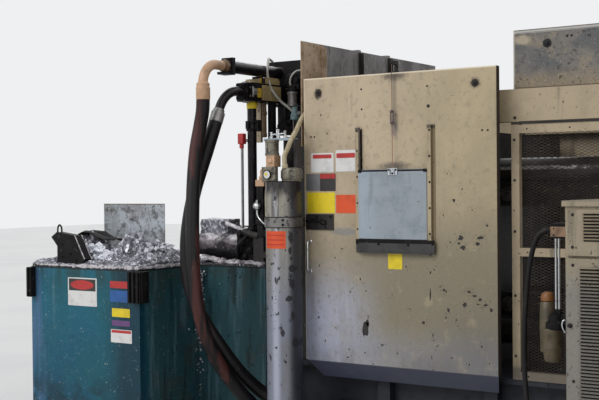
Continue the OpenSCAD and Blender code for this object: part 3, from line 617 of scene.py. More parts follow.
def dross():
    """Crumpled bright metal with grey ash in its folds"""
    f = Finish("dross", (206, 206, 214), rough=0.4, metal=0.45)
    f.mottle((14, 8, 0.7), (0.46, 0.6), (150, 150, 158), rough=0.55, metal=0.3)
    f.mottle((34, 9, 0.75), (0.54, 0.62), (84, 84, 92), rough=0.85, metal=0.1, amount=0.7, place=4)
    f.mottle((60, 6), (0.6, 0.66), (236, 236, 242), rough=0.3, amount=0.8, place=7)
    return f.relief(f.grain(45, 8, 0.7), 0.004).done()


def dross_crust():
    """Ash and metal on the charging well: dark folds between bright crumpled sheets"""
    f = Finish("dross_crust", (124, 124, 132), rough=0.6, metal=0.25)
    f.mottle((17, 9, 0.75), (0.47, 0.56), (78, 77, 84), rough=0.85, metal=0.05)
    f.mottle((40, 8, 0.7), (0.52, 0.58), (214, 215, 224), rough=0.35, metal=0.4, amount=0.85, place=5)
    f.layer(f.edges(0.53, 0.62), (232, 232, 240), rough=0.3, metal=0.4, amount=0.7)
    return f.relief(f.grain(50, 8, 0.75), 0.005).done()


def ash_crust():
    """Pale ash and spilt metal caked on the furnace rim"""
    f = Finish("ash_crust", (196, 190, 194), rough=0.8)
    f.mottle((18, 8, 0.7), (0.48, 0.62), (146, 140, 144), rough=0.85)
    f.mottle((46, 8), (0.54, 0.60), (58, 54, 56), amount=0.85, place=4)
    f.mottle((30, 6), (0.56, 0.64), (230, 228, 234), rough=0.4, metal=0.3, amount=0.8, place=8)
    return f.relief(f.grain(60, 8, 0.7), 0.005).done()


def cabinet_paint():
    """Cabinet: beige enamel, greyer low down, dusty on top, with scuffs and specks"""
    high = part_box("cabinet_lid")[1]
    f = Finish("cabinet_paint", (148, 136, 114), rough=0.45, specular=0.4)
    f.mottle((4, 6), (0.44, 0.66), (132, 121, 102), rough=0.5, amount=0.7)
    f.fade("Z", 1.26, 1.05, (112, 112, 110), amount=0.75)
    f.fade("Z", 0.9, 0.2, (92, 92, 92), amount=0.6)
    f.mottle((16, 8), (0.56, 0.66), (98, 90, 78), amount=0.6, stretch=(1, 1, 0.08), place=5)
    f.mottle((60, 6), (0.62, 0.66), (52, 47, 42), amount=0.85, place=8)
    f.mottle((26, 7), (0.63, 0.66), (72, 64, 54), amount=0.75, place=3)
    f.mottle((110, 5), (0.62, 0.67), (186, 178, 162), amount=0.5, place=18)
    f.fade("Z", high.z - 0.006, high.z - 0.002, (112, 104, 92), rough=0.7, amount=0.6)
    return f.relief(f.grain(50, 4), 0.0003).done()


def junction_paint():
    """Junction box: brown enamel"""
    f = Finish("junction_paint", (142, 112, 86), rough=0.5)
    f.mottle((22, 7), (0.46, 0.62), (104, 80, 60), rough=0.6)
    f.mottle((60, 6), (0.62, 0.68), (56, 44, 36), amount=0.8, place=4)
    return f.relief(f.grain(80, 4), 0.0003).done()


def pipe_black():
    """Pipes and posts: glossy black with a painted highlight line along the upper pipe's top"""
    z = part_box("upper_pipe")[1].z - 0.018
    f = Finish("pipe_black", (18, 14, 18), rough=0.3, specular=0.25)
    f.mottle((12, 7, 0.65), (0.48, 0.64), (34, 29, 34), rough=0.4)
    # Painted highlight along the upper pipe's top
    f.layer(f.within("Z", z - 0.004, z + 0.003, 0.003), (206, 200, 204), amount=0.75)
    f.mottle((60, 6), (0.64, 0.68), (104, 96, 96), amount=0.7, place=4)
    return f.relief(f.grain(60, 5), 0.0004).done()


def tie_bar_steel():
    """Tie bars: dark greasy steel with a painted bright glint line along the upper bars"""
    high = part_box("tie_bars")[1]
    f = Finish("tie_bar_steel", (56, 54, 53), rough=0.4, metal=0.3, specular=0.35)
    f.mottle((9, 7), (0.46, 0.62), (34, 32, 31), rough=0.5, stretch=(0.3, 1, 1))
    # Painted highlight: a bright glint line along the upper bars
    painted_highlight_line = f.times(f.within("Z", high.z - 0.112, high.z - 0.092, 0.006),
                   f.patches((16, 8, 0.7), (0.46, 0.54), stretch=(0.4, 1, 1)))
    f.layer(painted_highlight_line, (206, 204, 206), rough=0.35, amount=0.85)
    return f.relief(f.grain(40, 5), 0.0004).done()


def cable_wire():
    """Hatch cable: brown with rust, dark at its turnbuckle"""
    f = Finish("cable_wire", (150, 112, 92), rough=0.5)
    f.layer(f.within("Z", 1.895, 1.990, 0.004), (64, 56, 64), amount=0.9)
    f.fade("Z", 2.12, 2.16, (62, 54, 50), amount=0.8)
    return f.done()


def plain_paint(name, colour, dirt=0.5, rough=0.45, metal=0.0):
    """Enamel or printed plate of one colour, with grime"""
    f = Finish(name, colour, rough=rough, metal=metal)
    darker = tuple(v * 0.72 for v in colour)
    f.layer(f.patches((14, 7, 0.65), (0.46, 0.66)), darker, rough=min(1, rough + 0.12), amount=dirt)
    f.layer(f.patches((70, 6), (0.63, 0.68), place=4), tuple(v * 0.35 for v in colour), amount=dirt)
    return f.relief(f.grain(90, 4), 0.0002).done()


# Finishes of the slots, each under the name of the function that makes it
SLOT_FINISHES = (
    dark_steel, cast_platen, bright_steel, beige_paint, cover_paint, rusty_sheet, galvanised, mesh_steel,
    door_paint, chrome, accumulator_paint, valve_steel, pale_hose, splashed_steel, black_grease,
    hose_rubber, furnace_paint, dross, cabinet_paint, junction_paint)
MATERIALS = {make.__name__: make() for make in SLOT_FINISHES}
BLACK_GREASE = MATERIALS["black_grease"]
DARK_STEEL = MATERIALS["dark_steel"]
SHEET_GREY = sheet_grey()
SPLASH_SHEET = splash_sheet()
RAIL_PAINT = rail_paint()
ASH_CRUST = ash_crust()
WHITE_PLATE = plain_paint("white_plate", (212, 210, 208), 0.35)
RED_PLATE = plain_paint("red_plate", (176, 44, 42), 0.5)
YELLOW_PLATE = plain_paint("yellow_plate", (222, 196, 30), 0.35)
ORANGE_PLATE = plain_paint("orange_plate", (214, 78, 30), 0.35)
GREY_PLATE = plain_paint("grey_plate", (122, 122, 124), 0.5, metal=0.3)
BLACK_PLATE = plain_paint("black_plate", (44, 40, 40), 0.5)
BLUE_PLATE = plain_paint("blue_plate", (30, 84, 148), 0.4)
PURPLE_PLATE = plain_paint("purple_plate", (96, 62, 110), 0.5)
BAR_CRUST = bar_crust()
CHIP_DARK = plain_paint("chip_dark", (42, 36, 36), 0.5, rough=0.7)
LEDGE_STEEL = plain_paint("ledge_steel", (50, 51, 49), 0.8, rough=0.6)
CLIP_STEEL = plain_paint("clip_steel", (196, 200, 204), 0.4, rough=0.35, metal=0.3)
CABLE_WIRE = cable_wire()
OLIVE_PAINT = plain_paint("olive_paint", (84, 74, 54), 0.95)
AMBER_PAINT = plain_paint("amber_paint", (126, 80, 38), 0.9)
TIE_BAR_STEEL = tie_bar_steel()
BED_STEEL = plain_paint("bed_steel", (23, 25, 36), 0.8, rough=0.6)
FOIL_BRIGHT = plain_paint("foil_bright", (226, 228, 236), 0.35, rough=0.4, metal=0.15)
TEAL_PAINT = plain_paint("teal_paint", (120, 146, 148), 0.5)
BROWN_STEEL = plain_paint("brown_steel", (104, 78, 50), 0.6)
YELLOW_STEEL = plain_paint("yellow_steel", (196, 158, 40), 0.6)
PIPE_BLACK = pipe_black()
ELBOW_PAINT = plain_paint("elbow_paint", (190, 152, 120), 0.55)
GREY_STEEL = plain_paint("grey_steel", (140, 138, 136), 0.55, rough=0.35, metal=0.6)
VALVE_YELLOW = plain_paint("valve_yellow", (158, 138, 96), 0.6)
TUBE_GREY = plain_paint("tube_grey", (170, 168, 160), 0.5)
DROSS_CRUST = dross_crust()


# Finish of the frame's own nodes
OWN_FINISH = {"bed_frame": BED_STEEL, "bed_ribs": BED_STEEL, "bed_deck": BED_STEEL, "tie_bars": TIE_BAR_STEEL,
              "shot_yoke": BLACK_GREASE, "shot_posts": PIPE_BLACK,
              "side_guard_rear": SHEET_GREY, "splash_panel": SPLASH_SHEET, "hatch_rails": RAIL_PAINT}
SLOT_OF = {part["node"]: part["material_slot"] for part in frame["record"]["subparts"]}


SHARP_ANGLE = math.radians(40)
SMOOTH_ANGLE = math.radians(35)


def bevel(obj, width, segments=2):
    """Rounds an object's sharp edges by a width"""
    made = obj.modifiers.new("edge", "BEVEL")
    made.width = width
    made.segments = segments
    made.limit_method = "ANGLE"
    made.angle_limit = SHARP_ANGLE


# Nodes with no bevel, the usual width of a bevel, and the nodes where it differs
SHARP_NODES = {"front_mesh", "rear_mesh", "dross_heap", "upper_hose", "lower_hose", "control_cable"}
USUAL_EDGE = 0.002
NODE_EDGES = {"safety_door": 0.0012, "hatch": 0.001, "hatch_rails": 0.0008, "side_guard_front": 0.0012,
              "side_guard_rear": 0.0012, "splash_panel": 0.001, "furnace_top": 0.003, "top_cover": 0.012,
              "rear_panel": 0.004, "cabinet_body": 0.004, "cabinet_lid": 0.004, "cabinet_doors": 0.003,
              "fixed_platen": 0.008, "moving_platen": 0.008, "rear_platen": 0.008, "bed_frame": 0.006,
              "furnace_body": 0.005, "charging_well": 0.005}
for name, obj in NODES.items():
    obj.data.materials.clear()
    obj.data.materials.append(OWN_FINISH.get(name, MATERIALS[SLOT_OF[name]]))
    if name not in SHARP_NODES:
        bevel(obj, NODE_EDGES.get(name, USUAL_EDGE))


# Shapes
OUT = Vector((0, -1, 0))
UP = Vector((0, 0, 1))
ACROSS = Vector((1, 0, 0))
BACK = Vector((0, 1, 0))
LEFT = Vector((-1, 0, 0))


def turns(sides):
    """Cosine and sine at each corner of a round form with that many sides"""
    angles = [2 * math.pi * k / sides for k in range(sides)]
    return [(math.cos(angle), math.sin(angle)) for angle in angles]


def circle(count, radius, start=0.0):
    """Pairs of offsets to places on a circle, from a start angle in degrees"""
    angles = [math.radians(360 / count * k + start) for k in range(count)]
    return [(radius * math.cos(angle), radius * math.sin(angle)) for angle in angles]


class Shape:
    """One mesh put together from simple forms, then given to a body as a piece"""

    def __init__(self):
        self.bm = bmesh.new()

    def box(self, low, high, turn=None):
        """A box between two corners, which may be turned about its middle"""
        low = Vector(low)
        high = Vector(high)
        middle = (low + high) / 2
        made = bmesh.ops.create_cube(self.bm, size=1)["verts"]
        grow = Matrix.Diagonal((*(high - low), 1))
        place = Matrix.Translation(middle) @ (turn.to_4x4() if turn else Matrix.Identity(4)) @ grow
        bmesh.ops.transform(self.bm, matrix=place, verts=made)
        return self

    def rod(self, start, end, radius, end_radius=None, sides=24):
        """A round bar, or a cone where its end radius differs"""
        start = Vector(start)
        end = Vector(end)
        way = end - start
        turn = UP.rotation_difference(way).to_matrix().to_4x4()
        place = Matrix.Translation((start + end) / 2) @ turn
        bmesh.ops.create_cone(self.bm, cap_ends=True, segments=sides, radius1=radius,
                              radius2=radius if end_radius is None else end_radius, depth=way.length,
                              matrix=place)
        return self

    def bolt(self, at, way, size=0.02):
        """Washer and hexagon head standing out along way"""
        at = Vector(at)
        way = Vector(way).normalized()
        self.rod(at, at + way * size * 0.14, size * 0.78, sides=16)
        self.rod(at + way * size * 0.14, at + way * size * 0.62, size * 0.54, size * 0.5, sides=6)
        return self

    def ball(self, at, radius, squash=(1, 1, 1), sides=20):
        """A ball, or an ellipsoid where squash differs along the axes"""
        at = Vector(at)
        size = radius * Vector(squash)
        rings = []
        levels = sides // 2
        for j in range(1, levels):
            flat = math.sin(math.pi * j / levels)
            height = math.cos(math.pi * j / levels)
            rings.append([self.bm.verts.new(at + size * Vector((flat * c, flat * s, height)))
                          for c, s in turns(sides)])
        top = self.bm.verts.new(at + size * UP)
        foot = self.bm.verts.new(at - size * UP)
        for k in range(sides):
            after = (k + 1) % sides
            self.bm.faces.new((top, rings[0][k], rings[0][after]))
            self.bm.faces.new((foot, rings[-1][after], rings[-1][k]))
            for a, b in zip(rings, rings[1:]):
                self.bm.faces.new((a[k], b[k], b[after], a[after]))
        return self

    def skin(self, rings, ends=True):
        """Faces between rings of points, and across the first and the last ring"""
        for a, b in zip(rings, rings[1:]):
            count = len(a)
            for k in range(count):
                self.bm.faces.new((a[k], a[(k + 1) % count], b[(k + 1) % count], b[k]))
        if ends:
            self.bm.faces.new(list(reversed(rings[0])))
            self.bm.faces.new(rings[-1])
        return self

    def prism(self, first, second):
        """A closed form between two equal outlines"""
        first = [self.bm.verts.new(place) for place in first]
        second = [self.bm.verts.new(place) for place in second]
        self.bm.faces.new(first)
        self.bm.faces.new(list(reversed(second)))
        for k, (a, b) in enumerate(zip(first, second)):
            after = (k + 1) % len(first)
            self.bm.faces.new((a, b, second[after], first[after]))
        return self

    def lathe(self, base, profile, way=UP, sides=48):
        """A turned form: radius and height pairs around an axis from base"""
        turn = UP.rotation_difference(Vector(way)).to_matrix()
        base = Vector(base)
        return self.skin([[self.bm.verts.new(base + turn @ Vector((radius * c, radius * s, height)))
                           for c, s in turns(sides)] for radius, height in profile])

    def tube(self, points, radius, sides=12):
        """A round tube along points; radius may be one number or one for each point"""
        points = [Vector(p) for p in points]
        count = len(points)
        radii = radius if isinstance(radius, (list, tuple)) else [radius] * count
        side = None
        rings = []
        for i, point in enumerate(points):
            way = (points[min(i + 1, count - 1)] - points[max(i - 1, 0)]).normalized()
            if side is None:
                side = way.orthogonal().normalized()
            side = (side - way * side.dot(way)).normalized()
            across = way.cross(side)
            rings.append([self.bm.verts.new(point + radii[i] * (side * c + across * s))
                          for c, s in turns(sides)])
        return self.skin(rings)

    def piece(self, name, slot, finish=None, edge=0.0, smooth=True, replaces=(), body="machine"):
        """Makes the mesh an object that rides a body, with an edge bevelled by that width"""
        bmesh.ops.recalc_face_normals(self.bm, faces=self.bm.faces)
        mesh = bpy.data.meshes.new(name)
        self.bm.to_mesh(mesh)
        self.bm.free()
        mesh.materials.append(finish or MATERIALS[slot])
        obj = bpy.data.objects.new(name, mesh)
        SCENE.collection.objects.link(obj)
        if smooth:
            for polygon in mesh.polygons:
                polygon.use_smooth = True
            mesh.set_sharp_from_angle(angle=SMOOTH_ANGLE)
        if edge:
            bevel(obj, edge)
        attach(obj, body)
        if replaces:
            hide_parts(*replaces)
        return obj


def smooth_path(points, steps=6):
    """A finer path through the points"""
    points = [Vector(p) for p in points]
    path = []
    for i in range(len(points) - 1):
        a, b = points[i], points[i + 1]
        before = points[i - 1] if i else a * 2 - b
        after = points[i + 2] if i + 2 < len(points) else b * 2 - a
        for k in range(steps):
            t = k / steps
            path.append(0.5 * (2 * a + (b - before) * t + (2 * before - 5 * a + 4 * b - after) * t * t
                               + (3 * a - before - 3 * b + after) * t ** 3))
    path.append(points[-1])
    return path


# Hoses and the control cable, which lie on the same routes as their solids in the frame
UPPER_ROUTE = [(-0.600, -1.180, 2.100), (-0.606, -1.180, 2.020), (-0.622, -1.188, 1.920),
               (-0.634, -1.214, 1.780), (-0.624, -1.252, 1.600), (-0.606, -1.288, 1.400),
               (-0.587, -1.314, 1.200), (-0.573, -1.325, 1.050), (-0.558, -1.325, 0.920),
               (-0.541, -1.313, 0.800), (-0.522, -1.288, 0.685), (-0.500, -1.252, 0.580),
               (-0.475, -1.208, 0.482), (-0.443, -1.147, 0.386), (-0.396, -1.078, 0.284),
               (-0.318, -0.984, 0.165), (-0.186, -0.911, 0.094), (-0.030, -0.885, 0.070),
               (0.100, -0.885, 0.070)]
LOWER_ROUTE = [(-0.600, -1.057, 1.961), (-0.608, -1.092, 1.871), (-0.628, -1.118, 1.770),
               (-0.652, -1.146, 1.660), (-0.675, -1.176, 1.540), (-0.696, -1.200, 1.400),
               (-0.706, -1.220, 1.250), (-0.700, -1.232, 1.100), (-0.677, -1.236, 0.960),
               (-0.634, -1.224, 0.830), (-0.574, -1.196, 0.705), (-0.514, -1.152, 0.590),
               (-0.460, -1.086, 0.470), (-0.410, -1.016, 0.370), (-0.328, -0.945, 0.275),
               (-0.205, -0.900, 0.206), (-0.060, -0.885, 0.178), (0.100, -0.885, 0.178)]
CABLE_ROUTE = [(1.802, -1.670, 1.345), (1.775, -1.670, 1.343), (1.745, -1.670, 1.325), (1.722, -1.670, 1.285),
               (1.704, -1.670, 1.220), (1.690, -1.670, 1.140), (1.680, -1.670, 1.050), (1.672, -1.670, 0.950),
               (1.668, -1.670, 0.850), (1.667, -1.670, 0.750), (1.670, -1.670, 0.650), (1.678, -1.670, 0.550),
               (1.692, -1.670, 0.450), (1.715, -1.670, 0.350), (1.750, -1.670, 0.262), (1.795, -1.670, 0.190),
               (1.850, -1.670, 0.140), (1.905, -1.670, 0.122), (1.941, -1.670, 0.120)]
HOSE_D = 0.084
CABLE_D = 0.024


def add_cord(name, route, diameter):
    """A hose or cable as a tube along its route"""
    path = smooth_path(route)
    cord = Shape().tube(path, diameter / 2, sides=28).piece(name + "_skin", "hose_rubber", replaces=(name,))


add_cord("upper_hose", UPPER_ROUTE, HOSE_D)
add_cord("lower_hose", LOWER_ROUTE, HOSE_D)
add_cord("control_cable", CABLE_ROUTE, CABLE_D)


# Door: hanger bolts, rivets, chips, blank plates, latch and handle, and the hatch with its rails and cable
DOOR_LOW, DOOR_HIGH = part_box("safety_door")
FACE_Y = DOOR_LOW.y
HATCH_LOW, HATCH_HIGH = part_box("hatch")
RAIL_LOW, RAIL_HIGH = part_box("hatch_rails")
LEDGE_LOW, LEDGE_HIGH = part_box("hatch_ledge")
CABLE_LOW, CABLE_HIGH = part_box("hatch_cable")
CABLE_X = (CABLE_LOW.x + CABLE_HIGH.x) / 2
CABLE_Y = HATCH_LOW.y + 0.006
HANGER_X = (0.104, 1.112)
HANGER_Z = 2.113


def add_door_bolts():
    """Hanger bolts, and rivets in the door's face"""
    shape = Shape()
    for x in HANGER_X:
        shape.lathe((x, FACE_Y, HANGER_Z), [(0.021, 0), (0.021, 0.003), (0.018, 0.004), (0.013, 0.004)],
                    OUT, 32)
        shape.bolt((x, FACE_Y - 0.004, HANGER_Z), OUT, 0.02)
        shape.rod((x, FACE_Y - 0.016, HANGER_Z), (x, FACE_Y - 0.024, HANGER_Z), 0.006, 0.005, 16)
    shape.piece("hanger_bolts", "dark_steel", edge=0.0006, body="door")
    shape = Shape()
    for x, z in ((0.397, 2.117), (0.399, 2.001), (0.822, 2.112), (0.048, 1.852), (0.073, 1.851),
                 (1.152, 1.854), (1.185, 1.853)):
        shape.ball((x, FACE_Y, z), 0.006, (1, 0.5, 1))
    shape.ball((0.828, FACE_Y, 2.000), 0.010, (1, 0.3, 1))
    for x, z in ((0.357, 1.868), (0.162, 1.868), (0.30, 0.60), (0.96, 0.60), (0.62, 0.60)):
        shape.ball((x, FACE_Y, z), 0.0045, (1, 0.4, 1))
    shape.piece("door_rivets", "dark_steel", body="door")


# Chips in the door's paint: place along X and Z, half width and half height
DOOR_CHIPS = [(0.980, 1.474, 0.010, 0.012), (1.031, 1.535, 0.005, 0.007), (0.915, 1.391, 0.005, 0.007),
              (1.177, 1.335, 0.007, 0.010), (0.956, 1.240, 0.005, 0.007), (1.023, 1.266, 0.020, 0.015),
              (1.034, 1.211, 0.018, 0.014), (1.010, 1.235, 0.012, 0.010), (1.136, 1.267, 0.020, 0.011),
              (1.124, 1.235, 0.015, 0.014), (0.832, 1.165, 0.006, 0.009), (0.680, 1.097, 0.006, 0.008),
              (0.833, 1.069, 0.007, 0.010), (0.857, 1.084, 0.005, 0.007), (0.893, 0.990, 0.006, 0.008),
              (0.917, 0.975, 0.011, 0.007), (0.930, 0.968, 0.006, 0.010), (0.832, 0.938, 0.006, 0.042),
              (1.042, 0.898, 0.013, 0.014), (0.942, 0.865, 0.010, 0.013), (1.068, 0.970, 0.014, 0.008),
              (1.098, 0.950, 0.016, 0.007), (1.133, 0.930, 0.013, 0.010), (1.165, 0.903, 0.015, 0.008),
              (1.197, 0.878, 0.012, 0.011), (1.120, 0.905, 0.011, 0.006), (0.787, 0.784, 0.010, 0.013),
              (0.847, 0.720, 0.004, 0.016), (0.852, 0.690, 0.003, 0.010), (0.928, 0.823, 0.006, 0.006),
              (0.989, 0.812, 0.005, 0.007), (1.000, 0.780, 0.004, 0.007), (0.871, 0.660, 0.004, 0.007),
              (0.838, 0.593, 0.004, 0.014), (0.845, 0.524, 0.005, 0.006), (1.141, 0.675, 0.005, 0.007),
              (1.065, 0.571, 0.006, 0.007), (1.186, 0.588, 0.004, 0.009), (0.416, 0.727, 0.026, 0.050),
              (0.426, 0.760, 0.012, 0.030), (0.430, 0.795, 0.005, 0.012), (0.379, 1.016, 0.006, 0.009),
              (0.310, 0.937, 0.006, 0.007), (0.524, 0.641, 0.012, 0.005), (0.293, 0.552, 0.012, 0.004),
              (0.408, 0.587, 0.004, 0.009), (0.461, 0.527, 0.006, 0.005), (0.091, 0.775, 0.006, 0.009),
              (0.208, 1.135, 0.006, 0.006), (0.416, 0.947, 0.005, 0.011), (0.120, 1.980, 0.006, 0.009),
              (0.165, 0.905, 0.004, 0.012), (0.255, 1.190, 0.008, 0.005), (0.100, 1.085, 0.005, 0.009),
              (0.135, 0.640, 0.005, 0.007), (0.205, 0.720, 0.004, 0.006), (0.590, 0.930, 0.004, 0.006),
              (0.700, 0.860, 0.005, 0.005), (1.090, 1.420, 0.004, 0.006), (0.940, 1.620, 0.004, 0.006)]


def add_door_chips():
    """Ragged dark chips and scratches in the door's paint, with small specks beside them"""
    draw = random.Random(11)
    shape = Shape()
    for x, z, wide, tall in DOOR_CHIPS:
        marks = [(x, z, wide, tall)]
        for _ in range(4 if wide < 0.014 else 12):
            marks.append((x + draw.uniform(-1, 1) * (wide + 0.02), z + draw.uniform(-1, 1) * (tall + 0.02),
                          0.0022, 0.0026))
        for at_x, at_z, half_x, half_z in marks:
            outline = []
            for c, s in turns(11):
                reach = draw.uniform(0.45, 1.15)
                outline.append((at_x + half_x * reach * c, at_z + half_z * reach * s))
            shape.prism([(x, FACE_Y - 0.0004, z) for x, z in outline],
                        [(x, FACE_Y + 0.0002, z) for x, z in outline])
    shape.piece("door_chips", "door_paint", CHIP_DARK, smooth=False, body="door")


# Blank plates: name, finish, place of the lower left and upper right corners along X and Z
DOOR_PLATES = [
    ("plate_white_a", WHITE_PLATE, (0.048, 1.640), (0.205, 1.754)),
    ("plate_white_b", WHITE_PLATE, (0.220, 1.642), (0.358, 1.768)),
    ("plate_band_a", RED_PLATE, (0.062, 1.722), (0.192, 1.745)),
    ("plate_band_b", RED_PLATE, (0.226, 1.722), (0.352, 1.750)),
    ("plate_grey", GREY_PLATE, (0.012, 1.530), (0.108, 1.632)),
    ("plate_dark", BLACK_PLATE, (0.110, 1.528), (0.218, 1.632)),
    ("plate_band_c", RED_PLATE, (0.112, 1.602), (0.216, 1.630)),
    ("plate_yellow", YELLOW_PLATE, (0.018, 1.398), (0.212, 1.520)),
    ("plate_orange", ORANGE_PLATE, (0.220, 1.398), (0.355, 1.506)),
    ("plate_small", YELLOW_PLATE, (0.566, 1.080), (0.656, 1.186))]
PLATE_T = 0.0015
BAND_LIFT = PLATE_T * 0.8


def add_plate(name, finish, low, high, y, body, lift):
    """A thin rounded plate on a face that looks along -Y"""
    corner = 0.004
    shape = Shape()
    outline = []
    for cx, cz, start in ((high[0] - corner, high[1] - corner, 0), (low[0] + corner, high[1] - corner, 90),
                          (low[0] + corner, low[1] + corner, 180), (high[0] - corner, low[1] + corner, 270)):
        for k in range(5):
            angle = math.radians(start + 22.5 * k)
            outline.append((cx + corner * math.cos(angle), cz + corner * math.sin(angle)))
    shape.prism([(x, y - lift, z) for x, z in outline], [(x, y - lift - PLATE_T, z) for x, z in outline])
    slot = "door_paint" if body == "door" else "furnace_paint"
    shape.piece(name, slot, finish, smooth=False, body=body)


def add_plates(plates, y, body):
    """Blank plates on a face, with the bands a little proud of the plates under them"""
    for name, finish, low, high in plates:
        add_plate(name, finish, low, high, y, body, BAND_LIFT if "band" in name else 0.0)


def add_rail_bolts():
    """Bolts of the hatch's rails, and those that hold the ledge"""
    lip = RAIL_LOW.y
    shape = Shape()
    for z in (1.875, 1.760, 1.609, 1.458, 1.307):
        shape.bolt((RAIL_LOW.x + 0.021, lip, z), OUT, 0.007)
    for z in (1.865, 1.720, 1.575, 1.430, 1.285):
        shape.bolt((RAIL_HIGH.x - 0.027, lip, z), OUT, 0.008)
    for x, z in ((0.515, 1.222), (0.705, 1.222), (RAIL_HIGH.x - 0.010, 1.230), (RAIL_LOW.x + 0.018, 1.226)):
        shape.bolt((x, lip - 0.0015, z), OUT, 0.010)
    shape.piece("rail_bolts", "dark_steel", BLACK_GREASE, edge=0.0004, body="door")


def add_ledge():
    """Front plate and lower lip of the hatch's ledge, with a dark strip along it and a black strip of painted
    shade up the left rail's channel
    """
    lip = RAIL_LOW.y
    shape = Shape()
    shape.box((RAIL_LOW.x + 0.013, lip - 0.0015, LEDGE_LOW.z + 0.002),
              (RAIL_HIGH.x + 0.002, lip, LEDGE_HIGH.z - 0.020))
    shape.box((RAIL_LOW.x + 0.030, LEDGE_LOW.y - 0.014, LEDGE_LOW.z),
              (RAIL_HIGH.x - 0.014, lip - 0.0015, LEDGE_LOW.z + 0.006))
    shape.piece("ledge_front", "dark_steel", LEDGE_STEEL, edge=0.0005, body="door")
    shape = Shape()
    shape.box((RAIL_LOW.x + 0.010, lip - 0.003, LEDGE_HIGH.z - 0.021),
              (RAIL_HIGH.x + 0.003, lip, LEDGE_HIGH.z - 0.001))
    # Black strip of painted shade inside the left rail's channel
    shape.box((RAIL_LOW.x + 0.034, FACE_Y - 0.0015, LEDGE_HIGH.z),
              (RAIL_LOW.x + 0.045, FACE_Y, RAIL_HIGH.z - 0.008))
    shape.piece("ledge_strip", "black_grease", edge=0.0005, body="door")


def add_hatch_face():
    """Face sheet of the hatch, its bolted upper edge and the clip under the cable"""
    lip = RAIL_LOW.y
    top = HATCH_HIGH.z
    left = RAIL_LOW.x + 0.031
    right = RAIL_HIGH.x - 0.044
    back = lip - 0.0015
    face = back - 0.0015
    middle = (HATCH_LOW.x + HATCH_HIGH.x) / 2
    shape = Shape()
    shape.box((left, face, HATCH_LOW.z + 0.003), (right, back, top - 0.010))
    shape.box((left + 0.02, face - 0.0008, top - 0.032), (right - 0.006, face, top - 0.028))
    shape.box((left, face - 0.0008, HATCH_LOW.z + 0.006), (left + 0.008, face, top - 0.020))
    shape.piece("hatch_face", "galvanised", smooth=False, body="hatch_sheet")
    shape = Shape()
    shape.box((left + 0.004, face - 0.002, top - 0.012), (right - 0.002, back, top - 0.003))
    for x in (left - 0.001, right - 0.020):
        shape.box((x, face - 0.003, top - 0.018), (x + 0.022, back, top))
    for x, z in ((-0.022, -0.004), (0.022, -0.003), (0.0, -0.024)):
        shape.bolt((middle + x, face - 0.0045, top + z), OUT, 0.008)
    shape.piece("hatch_edge", "galvanised", BLACK_GREASE, edge=0.0005, body="hatch_sheet")
    shape = Shape()
    shape.box((middle - 0.030, face - 0.0045, top - 0.034), (middle + 0.030, face - 0.002, top + 0.006))
    shape.piece("hatch_clip", "galvanised", CLIP_STEEL, edge=0.0008, body="hatch_sheet")


def add_hatch_cable():
    """Cable of three twisted strands with its turnbuckle"""
    x = CABLE_X
    y = CABLE_Y
    pulley_z = CABLE_HIGH.z - 0.024
    low = CABLE_LOW.z
    shape = Shape()
    strand = 0.0012
    twists = 46
    for k in range(3):
        points = []
        for i in range(twists * 6 + 1):
            angle = 2 * math.pi * (i / 6 + k / 3)
            z = low + (pulley_z - low) * i / (twists * 6)
            points.append((x + strand * math.cos(angle), y + strand * math.sin(angle), z))
        shape.tube(points, 0.0013, 6)
    # Ends of the turnbuckle
    body_low = 1.905
    body_high = 1.985
    for s in (-1, 1):
        shape.tube([(x + s * 0.009, y, body_low + 0.008), (x + s * 0.009, y, body_high - 0.008)], 0.0028, 8)
    for z in (body_low, body_high - 0.014):
        shape.lathe((x, y, z), [(0.006, 0), (0.0115, 0.002), (0.0115, 0.012), (0.006, 0.014)], sides=16)
    cable = shape.piece("hatch_cable_strands", "dark_steel", CABLE_WIRE, replaces=("hatch_cable",),
                        body="door")
    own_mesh(cable)


def add_cable_pulley():
    """Pulley in its bracket on the door's top edge"""
    x = CABLE_X
    y = CABLE_Y
    shape = Shape()
    wheel_z = CABLE_HIGH.z - 0.012
    wheel_y = y + 0.0135
    rim = 0.0118
    shape.lathe((x - 0.006, wheel_y, wheel_z),
                [(0.004, 0), (rim, 0), (rim, 0.002), (0.009, 0.006), (rim, 0.010), (rim, 0.012),
                 (0.004, 0.012)], ACROSS, 32)
    for s in (-1, 1):
        side = x + s * 0.010
        shape.box((side - 0.002, y + 0.002, wheel_z - 0.011), (side + 0.002, FACE_Y + 0.034, wheel_z + 0.010))
    shape.box((CABLE_LOW.x, FACE_Y + 0.006, DOOR_HIGH.z), (CABLE_HIGH.x, FACE_Y + 0.034, DOOR_HIGH.z + 0.006))
    shape.box((x - 0.012, FACE_Y + 0.028, DOOR_HIGH.z), (x + 0.012, FACE_Y + 0.034, wheel_z + 0.010))
    shape.rod((x - 0.015, wheel_y, wheel_z), (x + 0.015, wheel_y, wheel_z), 0.0035, sides=16)
    for s in (-1, 1):
        shape.bolt((x + s * 0.017, FACE_Y + 0.02, DOOR_HIGH.z + 0.006), UP, 0.008)
    shape.piece("cable_pulley", "dark_steel", edge=0.0004, body="door")


